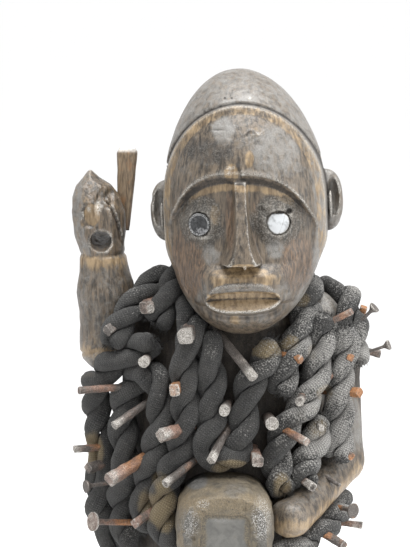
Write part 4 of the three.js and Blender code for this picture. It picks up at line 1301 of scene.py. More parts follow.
def regions(p):
    """The parts of the carving, each from 0 to 1."""
    u, v, w = head_frame(p)
    x, y, z = p.T
    found = {"u": u, "v": v, "w": w}
    found["head"] = ramp(skull_field(u, v, w), 22, 18) * (x > -62) * ramp(z, 431, 436)
    found["front"] = found["head"] * ramp(v, -4, -16)
    found["edge"] = face_edge(u, w)
    brow = brow_line(u)
    rim = rim_distance(u, v, w)
    found["below_brow"] = brow - w
    found["face"] = found["front"] * found["edge"] * ramp(brow - w, -1.5, 0.5)
    found["rim"] = rim
    found["cap"] = found["head"] * ramp(rim, -0.4, 0.4)
    found["band"] = found["head"] * ramp(rim, -CAP_BAND - 0.6, -CAP_BAND) * ramp(rim, 0.2, -0.4)
    found["forehead"] = found["front"] * ramp(w - brow, 0, 1.5) * ramp(rim, -CAP_BAND, -CAP_BAND - 1.5)
    found["fist"] = ramp(x, -62, -66) * ramp(z, 474, 480) * (1 - found["head"])
    found["arm"] = ramp(x, -60, -66) * ramp(z, 400, 408) * ramp(z, 480, 474) * (1 - found["head"])
    found["forearm"] = ramp(capsule(p, (77, 4, 337), 14, (38, -58, 311), 15), 3, 1)
    found["upper_arm"] = ramp(capsule(p, (58, 3, 434), 18, (77, 4, 345), 15), 3, 1) * (1 - found["forearm"])
    found["trunk"] = ramp(z, 228, 240) * (1 - found["head"]) * (1 - found["fist"]) * (1 - found["arm"])
    found["trunk"] = found["trunk"] * (1 - found["forearm"]) * (1 - found["upper_arm"])
    found["low"] = ramp(z, 240, 228)
    return found


def figure_relief(p):
    """How far the worked surface of the carving stands over its plain shape."""
    r = regions(p)
    u, w = r["u"], r["w"]
    facets = 0.34 * noise(p, 15, 1) + 0.2 * noise(p, 7, 2)
    pitted = 0.10 * noise(p, 2.6, 3)
    relief = (facets + pitted) * (1 - 0.55 * r["cap"] - 0.25 * r["face"])
    crust = np.clip(marks("crust", u, w), 0, 1) * r["front"]
    lumps = layered(p, 4.2, 5, 2)
    relief += crust * (0.55 * np.maximum(lumps, -0.2) + 0.25 * noise(p, 1.9, 7))
    red = np.clip(marks("red", u, w), 0, 1) * r["face"]
    cracks = np.abs(noise(p, 1.7, 8, (1, 1, 9)))
    relief -= 0.55 * red * ramp(cracks, 0.16, 0.02)
    s, crease, top, bottom = mouth_lines(u)
    lip = r["face"] * ramp(w, crease + 2.2, crease + 3.5) * ramp(w, top + 0.5, top - 0.8) * (s < 0.98)
    relief += 0.14 * lip * np.sin(math.tau * u / 1.7 + 2 * noise(p, 6, 9))
    squiggle = spot(u, w + 1.5 * np.sin(u / 1.6), (9.5, 129.5), (6.5, 0.9), 0.5)
    relief += 0.5 * squiggle * r["forehead"]
    for centre, half in (((-24.8, 125.7), (0.6, 4.5)), ((-13.1, 131.7), (4.0, 0.6)), ((16.0, 121.0), (0.6, 5.0))):
        relief -= 0.4 * spot(u, w, centre, half, 0.6) * r["forehead"]
    rough = 0.3 * layered(p, 5, 10, 3, (1, 1, 2.5))
    relief += rough * (r["fist"] + 0.7 * r["arm"] + 0.5 * r["forearm"] + 0.6 * r["low"])
    long_cracks = np.abs(noise(p, 6, 12, (1, 1, 14)))
    relief -= 0.9 * ramp(long_cracks, 0.035, 0.0) * (r["low"] + 0.7 * r["arm"] + 0.4 * r["fist"] + 0.3 * r["cap"])
    across, down = shown_at(p)
    fold = hump(down, 350 + 3 * np.sin(across / 6), 1.4) * r["arm"]
    return relief - 1.0 * fold


def figure_tones(mesh):
    """The finish of the carving: grey from wear and painted sheen, tan and crusted, then red grain, dark patches with
    painted shade, and painted highlights.
    """
    p, n = places_of(mesh), normals_of(mesh)
    r = regions(p)
    u, w = r["u"], r["w"]
    curve = bulge(mesh)
    high, deep = ramp(curve, 0.06, 0.22), ramp(curve, -0.06, -0.24)
    side = r["head"] * (1 - r["edge"] * ramp(r["v"], -4, -16))
    across, down = shown_at(p)
    front = r["front"]
    s, crease, top, bottom = mouth_lines(u)
    band = r["face"] * ramp(w, crease + 4.4, crease + 5.6) * ramp(w, top + 0.8, top - 0.4) * (s < 1)
    mouth = r["face"] * (w < top) * (w > bottom) * (s < 1) * (1 - band)
    patch = 0.5 + 0.5 * layered(p, 22, 15, 3)

    # Grey from wear on the cap and forehead; on the sides of the head, more towards the viewer's right, it is painted
    # sheen.
    worn_and_sheen = 0.72 * r["cap"] + side * (0.55 + 0.4 * ramp(u, 25, 45)) * (1 - r["cap"]) + 0.30 * r["forehead"]
    worn_and_sheen += marks("worn_and_sheen", u, w) * front + 0.14 * r["face"]
    # The fist is greyer on faces turned to the viewer's left: painted sheen.
    worn_and_sheen += r["fist"] * (0.25 + 0.65 * ramp(n[:, 0], -0.2, -0.75)) + 0.45 * r["arm"]
    # The forearm is greyer on its upper faces: painted light from above.
    worn_and_sheen += 0.5 * r["forearm"] * ramp(n[:, 2], 0.1, 0.7) + 0.8 * r["upper_arm"] + r["low"] * 0.55 * patch
    tan = marks("tan", u, w) * front + 0.6 * r["band"]
    under_bevel = r["face"] * ramp(r["below_brow"], 5, 7) * ramp(r["below_brow"], 13, 9) * ramp(np.abs(u), 38, 30)
    tan += 0.8 * under_bevel + 0.5 * mouth - 0.9 * band
    worn_and_sheen += 0.45 * band
    tan += r["fist"] * (0.35 + 0.9 * spot(across, down, (92, 215), (7, 10), 0.3)) + 0.25 * r["arm"]
    tan += 0.55 * r["arm"] * ramp(p[:, 2], 466, 474) + 0.7 * hump(down, 352, 5) * r["arm"]
    tan += r["forearm"] * (0.25 + 0.75 * ramp(n[:, 2], 0.3, -0.3)) + 0.25 * r["low"] + 0.35 * r["trunk"] * patch
    crust = marks("crust", u, w) * front + 0.35 * r["trunk"] + 0.2 * r["low"]
    red = marks("red", u, w) * front + 0.4 * r["fist"] + 0.35 * r["low"] + 0.5 * r["arm"] * (1 - patch)
    red += 0.3 * r["cap"] * ramp(patch, 0.55, 0.8)
    # Dark resin patches and a darker trunk, with painted shade in creases, under the nose, along the mouth's crease,
    # under the upper lip, on the brow's downward bevel and in the cap's groove.
    dark = marks("dark", u, w) * front + 0.75 * deep + 0.75 * r["trunk"]
    dark += r["face"] * 0.8 * hump(w, crease, 0.8) * (s < 1)
    dark += 0.55 * r["face"] * hump(w, top - 4.8, 0.7) * (s < 0.97) + 0.4 * side * ramp(np.abs(p[:, 1]), 60, 90)
    bevel = ramp(r["below_brow"], 1.0, 2.5) * ramp(r["below_brow"], 6.8, 5.4) * (1 - 0.7 * ramp(np.abs(u), 33, 44))
    dark += 0.7 * r["face"] * bevel
    dark += 0.9 * r["head"] * hump(r["rim"], 1.1, 0.8) + 0.12 * r["low"]
    # Painted highlights on ridges and edges, along the lower lip, on the brow's upper edge, the cap's rim and the lip
    # bevel, and in spots on the fist.
    painted_highlight = marks("painted_highlight", u, w) * front + 0.8 * high * (1 - r["trunk"]) * (1 - 0.8 * r["forearm"])
    painted_highlight += 0.7 * r["face"] * hump(w, bottom - 0.4, 0.9) * (s < 0.97)
    painted_highlight += 0.45 * front * hump(r["below_brow"], -0.9, 0.9) * ramp(np.abs(u), 44, 32)
    painted_highlight += 0.4 * r["head"] * hump(r["rim"], -0.6, 0.7) + 0.16 * band
    painted_highlight += 0.8 * r["fist"] * (spot(across, down, (89, 209), (2, 3), 0.4) + spot(across, down, (98, 208), (3, 7), 0.4))
    add_masks(mesh, "tones", (worn_and_sheen, tan, crust))
    add_masks(mesh, "grain_shade_and_highlight", (red, dark, painted_highlight))


# Pieces


def finished(piece, slot, material, *nodes):
    """Gives a piece its material and its place in the frame; the slot is not used."""
    piece.data.materials.append(material)
    if nodes:
        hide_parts(*nodes)
    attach(piece, BODY)
    return piece


def make_figure():
    cell = CELL
    axes = [np.linspace(low, high, 12) for low, high in ((-108, 100), (-96, 60), (-4, 606))]
    box = gathered(np.stack(np.meshgrid(*axes, indexing="ij"), axis=-1).reshape(-1, 3))
    places, quads = polygonised(carving_field, box.min(0) - 4, box.max(0) + 4, cell, spread_out)
    piece = make_mesh("figure_carving", places, quads)
    n = normals_of(piece.data)
    moved = places + n * figure_relief(places)[:, None]
    moved[:, 2] = np.maximum(moved[:, 2], 0)
    piece.data.vertices.foreach_set("co", (moved * MM).astype(np.float32).ravel())
    piece.data.update()
    if 2 * len(quads) > FIGURE_TRIANGLES:
        r = regions(places)
        reduced(piece, FIGURE_TRIANGLES, 0.1 + 0.9 * np.maximum(r["head"], r["fist"]))
    settled_places = places_of(piece.data)
    settled_places[:, 2] = np.maximum(settled_places[:, 2], 0)
    piece.data.vertices.foreach_set("co", (settled_places * MM).astype(np.float32).ravel())
    figure_tones(piece.data)
    return finished(piece, "carved_wood", wood_material(), "figure")


def axis_of(name, outward):
    """The ends of a straight node, from the end inside to the one outside, and its points."""
    co = places_of(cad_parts[name].data)
    middle = co.mean(0)
    way = np.linalg.svd(co - middle)[2][0]
    if way @ outward(middle) < 0:
        way = -way
    along = (co - middle) @ way
    return middle + way * along.min(), middle + way * along.max(), co


def nail_profile(kind, from_tip, half):
    """The half width at a distance from the outer end."""
    if kind == "trumpet":
        flare = ramp(from_tip, 5.4, 0.6) ** 1.6
        return half * (0.8 + 1.75 * flare)
    if kind == "square":
        return half * np.clip(1.02 - 0.006 * from_tip, 0.7, 1.02)
    return half * np.clip(1.0 - 0.004 * from_tip, 0.8, 1.0)


NAIL_SIDES = 28
NAIL_STEP = 0.9


def nail_mesh(name, root, tip, kind, half, corner_way, seed, end="broken"):
    """A hand-made nail: a slightly bent shank with a worn outer end."""
    rng = np.random.default_rng(seed)
    way = unit(tip - root)
    side = unit(corner_way - (corner_way @ way) * way)
    across = np.cross(way, side)
    long = np.linalg.norm(tip - root)
    count = max(12, int(long / NAIL_STEP))
    t = np.linspace(0, 1, count)
    bend = rng.normal(0, 0.35) * side + rng.normal(0, 0.35) * across
    line = root + way * (long * t)[:, None] + bend * (np.sin(math.pi * t) * 1.1)[:, None]
    angle = math.tau * np.arange(NAIL_SIDES) / NAIL_SIDES
    if kind == "square":
        power, uneven = 5.0, rng.uniform(0.84, 1.0)
    else:
        power, uneven = 2.15, rng.uniform(0.93, 1.0)
    shape = (np.abs(np.cos(angle)) ** power + np.abs(np.sin(angle) / uneven) ** power) ** (-1 / power)
    reach = nail_profile(kind, long * (1 - t), half)[:, None] * shape[None]
    round_way = np.cos(angle)[None, :, None] * side + np.sin(angle)[None, :, None] * across
    flat = (line[:, None] + round_way * reach[:, :, None]).reshape(-1, 3)
    rough = (0.055 * layered(flat, 5.0, seed, 2) + 0.035 * noise(flat, 1.6, seed + 2)) * (1.4 if kind == "square" else 1)
    reach = reach * (1 + rough.reshape(reach.shape) * min(1, 4.5 / half))
    rings = [line[:, None] + round_way * reach[:, :, None]]
    last = reach[-1]
    fans = (0.93, 0.8, 0.6, 0.4, 0.2)
    for scale in fans:
        far = last * scale
        face = line[-1] + round_way[0] * far[:, None]
        if end == "hollow":
            rise = -2.2 * ramp(scale, 0.72, 0.45) + 0.35 * ramp(scale, 1, 0.85)
        elif end == "domed":
            rise = 0.32 * half * math.sqrt(max(0.0, 1 - scale * scale))
        elif end == "flat":
            rise = 0.12 * (1 - scale)
        else:
            rise = 0.25
        chips = 0.5 * layered(face, 2.6, seed + 4, 2) * (0.2 if end in ("flat", "domed") else 1) * min(1, half / 3)
        lift = rise + chips * (1 - scale * 0.4)
        rings.append((face + way * lift[:, None])[None])
    places = np.concatenate(rings).reshape(-1, 3)
    total = count + len(fans)
    middle = [places[-NAIL_SIDES:].mean(0), line[0]]
    ring = np.arange(NAIL_SIDES)
    nxt = (ring + 1) % NAIL_SIDES
    quads = [np.stack([i + ring, i + nxt, i + NAIL_SIDES + nxt, i + NAIL_SIDES + ring], axis=1)
             for i in range(0, (total - 1) * NAIL_SIDES, NAIL_SIDES)]
    top = total * NAIL_SIDES
    outer = np.stack([top - NAIL_SIDES + ring, top - NAIL_SIDES + nxt, np.full(NAIL_SIDES, top)], axis=1)
    inner = np.stack([nxt, ring, np.full(NAIL_SIDES, top + 1)], axis=1)
    piece = make_mesh(name, np.vstack([places, middle]), [np.concatenate(quads), outer, inner])
    return piece, line, long, way


NAIL_LOOKS = {
    "nail_01": (0.3, 0.3, 0.1, "flat"), "spike_02": (0.6, 0.45, 0.1, "broken"),
    "spike_03": (0.3, 0.35, 0.0, "broken"), "peg_04": (0.35, 0.75, 0.1, "flat"),
    "peg_05": (0.5, 0.2, 0.1, "broken"), "spike_06": (0.4, 0.85, 0.0, "broken"),
    "spike_07": (0.3, 0.35, 0.95, "broken"), "peg_08": (0.25, 0.6, 0.0, "broken"),
    "spike_09": (0.75, 0.6, 0.05, "broken"), "peg_10": (0.3, 0.8, 0.1, "broken"),
    "spike_11": (0.45, 0.5, 0.4, "broken"), "spike_12": (0.4, 0.35, 0.2, "broken"),
    "nail_13": (0.3, 0.0, 0.25, "flat"), "spike_14": (0.9, 0.6, 0.35, "flat"),
    "peg_15": (0.3, 0.7, 0.15, "hollow"), "spike_16": (0.25, 0.85, 0.05, "broken"),
    "spike_17": (0.75, 0.35, 0.3, "broken"), "nail_18": (0.6, 0.4, 0.3, "flat"),
    "peg_19": (0.2, 0.9, 0.05, "domed"), "spike_20": (0.55, 0.3, 0.95, "broken"),
    "spike_21": (0.7, 0.3, 0.45, "flat"), "nail_22": (0.2, 0.35, 0.1, "flat"),
    "spike_23": (0.3, 0.2, 0.95, "broken"), "nail_24": (0.1, 0.5, 0.0, "domed"),
    "spike_25": (0.5, 0.1, 0.9, "broken"), "nail_26": (0.7, 0.0, 0.3, "flat"),
    "spike_27": (0.5, 0.1, 1.0, "flat"), "peg_28": (0.45, 0.7, 0.3, "flat"),
    "peg_29": (0.3, 0.75, 0.1, "flat"), "spike_30": (0.8, 0.45, 0.45, "flat"),
    "spike_31": (0.75, 0.6, 0.1, "flat"), "spike_32": (0.5, 0.6, 0.1, "hollow"),
    "nail_33": (0.2, 0.5, 0.0, "broken"), "spike_34": (0.2, 1.0, 0.0, "broken"),
    "spike_36": (0.6, 0.2, 0.8, "broken"), "nail_37": (0.2, 0.1, 0.5, "flat"),
    "spike_38": (0.4, 0.3, 0.5, "broken"),
}
TRUMPETS = ("nail_01", "nail_13", "nail_18", "nail_22", "nail_24", "nail_37", "nail_back_3")
ROUNDS = ("peg_04", "peg_05", "peg_08", "peg_10", "peg_15", "peg_19", "nail_26", "peg_28", "peg_29", "nail_33")


def nail_tones(piece, line, long, way, look, seed):
    """Rust, pale corrosion and orange, changing from where the nail comes out to its end."""
    rust, pale, orange, _ = look
    p = places_of(piece.data)
    from_tip = long - (p - line[0]) @ way
    patch = 0.28 * layered(p, 6, seed, 2)
    curve = bulge(piece.data, 1)
    tip = ramp(from_tip, 11, 1)
    base = ramp(from_tip, 8, 20)
    add_masks(piece.data, "tones", (
        rust * (0.75 + 0.25 * base) + patch,
        pale * (0.35 + 0.65 * tip) + patch + 0.5 * ramp(curve, 0.10, 0.35),
        orange * 0.75 + 0.5 * base * (0.3 + orange) + patch,
    ))


def outward(place):
    """Away from the middle of the trunk."""
    return np.array([place[0], place[1], 0.15 * (place[2] - 380)])


def make_nails():
    material = iron_material()
    pieces = []
    names = sorted(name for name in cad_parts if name.split("_")[0] in ("nail", "spike", "peg"))
    for i, name in enumerate(names):
        root, tip, co = axis_of(name, outward)
        way = unit(tip - root)
        far = (co - root) @ way
        ends = co[far > far.max() - 0.6]
        middle = ends.mean(0)
        arms = ends - middle
        arms = arms - (arms @ way)[:, None] * way
        half = np.linalg.norm(arms, axis=1).max()
        corner = arms[np.argmax(np.linalg.norm(arms, axis=1))]
        kind = "trumpet" if name in TRUMPETS else "round" if name in ROUNDS else "square"
        if kind == "square":
            half /= math.sqrt(2)
            corner = corner / np.linalg.norm(corner) + np.cross(way, corner / np.linalg.norm(corner))
        elif kind == "trumpet":
            half /= 2.6
        look = NAIL_LOOKS.get(name, (0.5, 0.35, 0.3, "broken"))
        piece, line, long, way = nail_mesh(name + "_iron", root, tip, kind, half, corner, 60 + i, look[3])
        nail_tones(piece, line, long, way, look, 60 + i)
        pieces.append(finished(piece, "rusty_iron", material, name))
    pieces += make_further_nails(material)
    return pieces


# Nails at the sides, the back and low down, in keeping: degrees round from the front, height, kind, size
FURTHER_NAILS = [
    (98, 412, "square", 5.0), (112, 372, "round", 6.0), (128, 398, "trumpet", 3.2), (146, 352, "square", 5.5),
    (163, 418, "round", 5.5), (-104, 430, "square", 4.6), (-118, 366, "square", 6.0), (-131, 408, "round", 6.4),
    (-150, 338, "trumpet", 3.4), (-166, 386, "square", 4.8), (176, 336, "square", 5.2), (84, 300, "square", 4.4),
]
FURTHER_NAIL_REACH = (-98.0, 102.0)


def make_further_nails(material):
    pieces = []
    for i, (turn, height, kind, size) in enumerate(FURTHER_NAILS):
        rng = np.random.default_rng(500 + i)
        angle = math.radians(turn)
        away = np.array([math.sin(angle), -math.cos(angle), 0])
        start = np.array([0, 0, height]) + away * 20
        reach = np.arange(0, 90, 0.5)
        out = carving_field(start + away * reach[:, None])
        skin = start + away * reach[np.argmax(out > 0)]
        way = unit(away + np.array([*rng.normal(0, 0.16, 2), rng.normal(-0.12, 0.14)]))
        tip = skin + way * rng.uniform(26, 31)
        tip[0] = np.clip(tip[0], *FURTHER_NAIL_REACH)
        piece, line, long, way = nail_mesh(
            f"further_nail_{i + 1:02d}", skin - way * 10, tip, kind, size / 2, np.array([0.2, 0.1, 1.0]), 200 + i)
        nail_tones(piece, line, long, way, (0.55, 0.4, 0.3, "broken"), 200 + i)
        pieces.append(finished(piece, "rusty_iron", material))
    return pieces


# Belly packet

PACKET_ROWS = ([PACKET_FRONT, PACKET_SHOULDER - 14, PACKET_SHOULDER, PACKET_BACK], [0.84, 0.96, 1.0, 0.97])
PLATE = {"half": 16.5, "top": 16.0, "bottom": -17.0, "thick": 3.0, "proud": 0.4, "lap": 1.5}


def plate_distance(x, z):
    """How far outside the plate's rounded outline a place of the packet's face is."""
    middle = (PLATE["top"] + PLATE["bottom"]) / 2
    tall = (PLATE["top"] - PLATE["bottom"]) / 2
    corner = 6.5
    qx = np.abs(x) - (PLATE["half"] - corner)
    qz = np.abs(z - middle) - (tall - corner)
    return np.hypot(np.maximum(qx, 0), np.maximum(qz, 0)) + np.minimum(np.maximum(qx, qz), 0) - corner


def packet_shape(p):
    x, z = p[:, 0] - PACKET_MIDDLE[0], p[:, 2] - PACKET_MIDDLE[1]
    scale = np.interp(p[:, 1], *PACKET_ROWS)
    g = (np.abs(x / PACKET_HALF[0]) ** 2.7 + np.abs(z / PACKET_HALF[1]) ** 2.7) ** (1 / 2.7) + 1e-6
    side = np.hypot(x, z) * (1 - scale / g)
    whole = soft_max(side, PACKET_FRONT - p[:, 1], 2.4)
    whole = np.maximum(whole, p[:, 1] - PACKET_BACK)
    lap = PLATE["lap"] * (1 + 0.8 * layered(p, 8, 45, 2))
    seat = np.maximum(plate_distance(x, z) + lap, p[:, 1] - (PACKET_FRONT + PLATE["thick"] - PLATE["proud"] + 0.3))
    whole = soft_max(whole, -seat, 0.9)
    return np.maximum(whole, 0.35 - carving_field(p))


def make_packet():
    low = (PACKET_MIDDLE[0] - 36, PACKET_FRONT - 4, PACKET_MIDDLE[1] - 35)
    high = (PACKET_MIDDLE[0] + 36, PACKET_BACK + 3, PACKET_MIDDLE[1] + 35)
    places, quads = polygonised(packet_shape, low, high, 0.8)
    piece = make_mesh("belly_packet_resin", places, quads)
    n = normals_of(piece.data)
    x, z = places[:, 0] - PACKET_MIDDLE[0], places[:, 2] - PACKET_MIDDLE[1]
    face = ramp(-n[:, 1], 0.3, 0.8)
    clear = ramp(plate_distance(x, z), -3.0, 1.5) * ramp(places[:, 1], -40, -50)
    lumps = 0.6 * layered(places, 9, 31, 3) + 0.4 * np.maximum(noise(places, 3.2, 33), -0.2)
    lumps += 0.2 * noise(places, 1.7, 34)
    pits = sum(spot(x, z, place, (size, size), 0.4) for place, size in (
        ((-26.5, 4.5), 1.2), ((-20.0, -1.0), 1.4), ((12.0, 17.5), 1.5), ((20.0, 9.0), 1.8), ((-14.0, 15.0), 1.6)))
    move = clear * (lumps - 0.9 * pits * face) - 0.25 * clear
    moved = places + n * move[:, None]
    moved[:, 1] = np.maximum(moved[:, 1], PACKET_FRONT - 0.3)
    piece.data.vertices.foreach_set("co", (moved * MM).astype(np.float32).ravel())
    piece.data.update()
    now = sum(len(polygon.vertices) - 2 for polygon in piece.data.polygons)
    reduced(piece, min(now, 60000), np.full(len(places), 0.5))
    p, n = places_of(piece.data), normals_of(piece.data)
    across, down = shown_at(p)
    curve = bulge(piece.data)
    x, z = p[:, 0] - PACKET_MIDDLE[0], p[:, 2] - PACKET_MIDDLE[1]
    face = ramp(-n[:, 1], 0.3, 0.8)
    tan = 0.35 + 0.4 * hump(down, 503, 9) + 0.6 * spot(across, down, (244, 500), (7, 6), 0.5)
    tan += 0.6 * spot(across, down, (185, 540), (8, 9), 0.5) + 0.3 * ramp(curve, 0.05, 0.2)
    grey = 0.8 * spot(across, down, (196, 480), (12, 10), 0.4) + 0.45 * spot(across, down, (235, 490), (14, 10), 0.5)
    grey += 0.55 * ramp(np.abs(x), 16, 22) * face
    grit = 0.9 * spot(across, down, (262, 518), (9, 20), 0.4) + 0.7 * spot(across, down, (203, 505), (6, 5), 0.4)
    grit += 0.5 * spot(across, down, (190, 522), (9, 14), 0.4) + 0.06
    add_masks(piece.data, "tones", (tan, grey, grit))
    return finished(piece, "packed_resin", resin_material(), "belly_packet")


def disc_piece(name, centre, across, up, out, outline, thick, dome, rings=26, sides=96):
    """A plate with an outline of its own: outline(angle) is its reach and dome(u, w, t) its height."""
    angle = math.tau * np.arange(sides) / sides
    reach = outline(angle)
    rows = []
    for t in np.concatenate([np.linspace(0.04, 0.93, rings), [0.97, 1.0]]):
        u, w = reach * t * np.cos(angle), reach * t * np.sin(angle)
        rows.append((u, w, dome(u, w, t)))
    rows.append((reach * np.cos(angle), reach * np.sin(angle), np.full(sides, -thick)))
    places = [centre + u[:, None] * across + w[:, None] * up + h[:, None] * out for u, w, h in rows]
    middle_height = dome(np.zeros(1), np.zeros(1), 0.0)[0]
    places.append(np.array([centre + out * middle_height, centre - out * thick]))
    total = len(rows) * sides
    ring = np.arange(sides)
    nxt = (ring + 1) % sides
    quads = [np.stack([i + ring, i + sides + ring, i + sides + nxt, i + nxt], axis=1)
             for i in range(0, total - sides, sides)]
    fan = np.stack([ring, nxt, np.full(sides, total)], axis=1)
    under = np.stack([total - sides + nxt, total - sides + ring, np.full(sides, total + 1)], axis=1)
    return make_mesh(name, np.vstack(places), [np.concatenate(quads), fan, under])


def make_plate():
    middle = (PLATE["top"] + PLATE["bottom"]) / 2
    centre = np.array([PACKET_MIDDLE[0], PACKET_FRONT + 0.75, PACKET_MIDDLE[1] + middle])

    def outline(angle):
        c, s = np.cos(angle), np.sin(angle)
        reach = np.full(len(angle), PLATE["half"])
        for _ in range(24):
            reach = reach - 0.8 * plate_distance(reach * c, middle + reach * s)
        return reach - 0.1 + 0.1 * noise(np.stack([c * 18, s * 18, 0 * c], 1), 5, 41)

    def dome(u, w, t):
        spread = np.stack([u, w, 0 * u], 1)
        return 0.25 * (1 - t * t) + 0.12 * noise(spread, 8, 42) - 0.15 * ramp(t, 0.93, 1.0)

    piece = disc_piece("packet_plate_clouded", centre, np.array([1.0, 0, 0]), np.array([0, 0, 1.0]),
                       np.array([0, -1.0, 0]), outline, PLATE["thick"] - 0.4, dome)
    p = places_of(piece.data)
    x, z = p[:, 0] - PACKET_MIDDLE[0], p[:, 2] - PACKET_MIDDLE[1]
    rim = -plate_distance(x, z)
    across, down = shown_at(p)
    bloom = 0.8 * spot(across, down, (222, 516), (14, 6), 0.5) + 0.25 * (0.5 + 0.5 * noise(p, 9, 43))
    dirt = 0.9 * ramp(rim, 6.5, 1.2) + 0.3 * noise(p, 6, 44)
    add_masks(piece.data, "tones", (bloom, 0.5 * ramp(rim, 2.4, 1.2), dirt))
    return finished(piece, "clouded_plate", plate_material(), "packet_plate")


# Haft stub and eyes

HAFT = {"top": (-66.2, 6.0, 546.0), "foot": (-69.0, 9.0, 492.0), "top_half": (7.1, 6.0), "foot_half": (4.2, 4.2)}


def make_haft():
    """A squared stub whose outer end has broken off unevenly."""
    top, foot = np.array(HAFT["top"]), np.array(HAFT["foot"])
    sides, rows = 64, 70
    angle = math.tau * np.arange(sides) / sides
    c, s = np.cos(angle), np.sin(angle)
    square = (np.abs(c) ** 6 + np.abs(s) ** 6) ** (-1 / 6)
    rings = []
    for t in np.linspace(0, 1, rows):
        middle = foot + (top - foot) * t
        half = np.array(HAFT["foot_half"]) * (1 - t) + np.array(HAFT["top_half"]) * t
        half = half * (1 - 0.2 * ramp(t, 0.93, 1.0) ** 2)
        flat = middle + np.stack([c * square * half[0], s * square * half[1], 0 * c], 1)
        grain = 0.35 * noise(flat, 1.6, 51, (1, 1, 12)) + 0.25 * noise(flat, 6, 52)
        rings.append(flat + np.stack([c, s, 0 * c], 1) * (grain - 0.45)[:, None])
    last = rings[-1]
    for scale in (0.96, 0.88, 0.75, 0.6, 0.42, 0.22):
        inner = top + (last - top) * scale
        lift = 1.3 * math.sqrt(1 - scale * scale) + 0.3 * noise(inner, 2.4, 53)
        inner[:, 2] = top[2] + np.minimum(lift, 1.2)
        rings.append(inner)
    places = np.concatenate(rings)
    total = len(places)
    ring = np.arange(sides)
    nxt = (ring + 1) % sides
    quads = [np.stack([i + ring, i + nxt, i + sides + nxt, i + sides + ring], axis=1)
             for i in range(0, total - sides, sides)]
    cap = np.stack([total - sides + ring, total - sides + nxt, np.full(sides, total)], axis=1)
    under = np.stack([nxt, ring, np.full(sides, total + 1)], axis=1)
    piece = make_mesh("haft_stub_wood", np.vstack([places, [places[-sides:].mean(0), foot]]),
                      [np.concatenate(quads), cap, under])
    p = places_of(piece.data)
    curve = bulge(piece.data, 1)
    edge = ramp(curve, 0.05, 0.2) + 0.3 * ramp(p[:, 0], -66, -60)
    tip = ramp(p[:, 2], 543.5, 546)
    dark = 0.4 * ramp(np.abs(noise(p, 2.0, 54, (1, 1, 10))), 0.12, 0.0) + 0.5 * ramp(p[:, 2], 505, 495)
    add_masks(piece.data, "tones", (edge, tip, dark))
    return finished(piece, "haft_wood", haft_material(), "haft_stub")


def node_middle(name):
    low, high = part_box(name)
    return (np.array(low) + np.array(high)) / 2 / MM


def eye_frame(eye, node):
    """The middle of an inlay's face and its directions across, up and out."""
    lean = math.copysign(EYE_LEAN, eye["u"])
    out = unit(np.array([math.sin(lean), -math.cos(lean), 0]) @ HEAD_TURN.T)
    up = unit(np.array([0, 0, 1.0]) - out[2] * out)
    return node_middle(node), unit(np.cross(up, out)), up, out


def make_eye_disc():
    centre, across, up, out = eye_frame(EYE_DISC, "eye_disc")
    radius = EYE_DISC["radius"]

    def outline(angle):
        return radius * (0.985 + 0.012 * np.sin(3 * angle + 1) + 0.01 * np.sin(7 * angle))

    def dome(u, w, t):
        rim = 0.4 * hump(t, 0.93, 0.05)
        return 1.75 + 0.25 * (1 - t * t) + rim - 0.6 * ramp(t, 0.96, 1.0) + 0.05 * noise(np.stack([u, w, 0 * u], 1), 2.5, 61)

    piece = disc_piece("eye_disc_glass", centre, across, up, out, outline, 1.6, dome)
    p = places_of(piece.data) - centre
    far = np.hypot(p @ across, p @ up) / radius
    ring = ramp(far, 0.74, 0.84)
    # Pale smears and painted glints on the glass.
    smear_and_glint = 0.12 + 0.4 * spot(p @ across, p @ up, (1, -3.5), (4.5, 2.2), 0.5) + 0.3 * spot(p @ across, p @ up, (-3, 3), (2, 2), 0.5)
    add_masks(piece.data, "tones", (ring, smear_and_glint, 0 * ring))
    return finished(piece, "eye_glass", eye_glass_material(), "eye_disc")


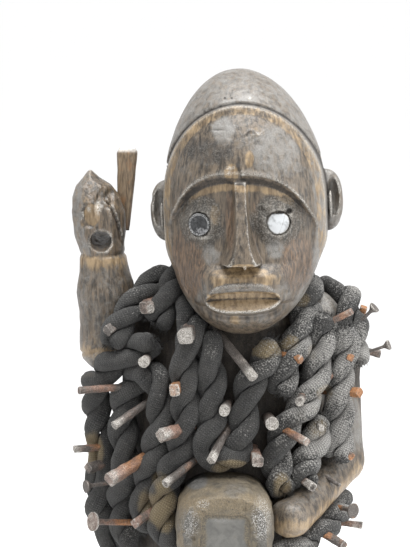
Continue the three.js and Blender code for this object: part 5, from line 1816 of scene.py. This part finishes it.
def make_eye_inlay():
    centre, across, up, out = eye_frame(EYE_INLAY, "eye_inlay")
    radius = EYE_INLAY["radius"]

    def outline(angle):
        """Round at the sides, flat above and drawn to a blunt point below."""
        c, s = np.cos(angle), np.sin(angle)
        flat = np.where(s > 0.01, 0.72 * radius / np.maximum(s, 0.01), 99)
        reach = np.minimum(radius * (0.95 + 0.05 * np.maximum(-s, 0) ** 3), flat)
        return reach - 0.2 * noise(np.stack([c * 8, s * 8, 0 * c], 1), 3, 62)

    def dome(u, w, t):
        return 1.5 + 0.7 * (1 - t * t) - 0.8 * ramp(t, 0.9, 1.0) + 0.08 * noise(np.stack([u, w, 0 * u], 1), 3, 63)

    # The inlay is painted white for a reflection.
    piece = disc_piece("eye_inlay_painted_reflection", centre, across, up, out, outline, 1.6, dome)
    p = places_of(piece.data) - centre
    far = np.hypot(p @ across, p @ up) / radius
    crack = ramp(np.abs(p @ across - 0.35 * (p @ up) + 0.4 * noise(p, 3, 64) - 2.6), 0.28, 0.0)
    add_masks(piece.data, "tones", (0.5 * ramp(far, 0.72, 0.98) + 0.6 * crack + 0.2, 0 * far, 0 * far))
    return finished(piece, "eye_shell", eye_white_reflection_material(), "eye_inlay")


# Stains of the ropes, as they show in the photograph: across, down, half width, half height, amount
ROPE_STAINS = [
    (165, 510, 14, 22, 1.0), (145, 505, 8, 18, 0.6), (232, 468, 20, 8, 1.0), (266, 349, 18, 10, 0.8),
    (291, 342, 8, 8, 0.8), (325, 392, 8, 8, 0.6), (92, 452, 12, 20, 0.9), (282, 486, 10, 14, 0.7),
    (160, 480, 10, 10, 0.5), (318, 430, 10, 10, 0.4), (312, 352, 6, 10, 0.5), (300, 300, 12, 8, 0.6),
]


def rope_tones(mesh):
    p, n = places_of(mesh), normals_of(mesh)
    across, down = shown_at(p)
    front = ramp(p[:, 1], 5, -8)
    stain = sum(amount * spot(across, down, (x, y), (half_x, half_y), 0.5)
                for x, y, half_x, half_y, amount in ROPE_STAINS) * front
    stain += 0.3 * ramp(noise(p, 30, 71), 0.25, 0.7)
    dust = 0.16 + 0.26 * ramp(p[:, 0], 8, 44) * ramp(p[:, 1], 20, -10) + 0.14 * n[:, 2] + 0.2 * layered(p, 16, 72, 2)
    dust += 0.18 * ramp(across, 285, 315) * ramp(down, 325, 345) * ramp(down, 470, 440) * front
    # Painted shade: darker close to the carving and in creases.
    deep = ramp(carving_field(p), 5.5, 1.0)
    curve = bulge(mesh, 2)
    add_masks(mesh, "tones", (dust, stain, 0.6 * deep + 0.6 * ramp(curve, -0.05, -0.25)))


add_camera()
add_stage()
make_figure()
make_ropes()
make_nails()
make_packet()
make_plate()
make_haft()
make_eye_disc()
make_eye_inlay()
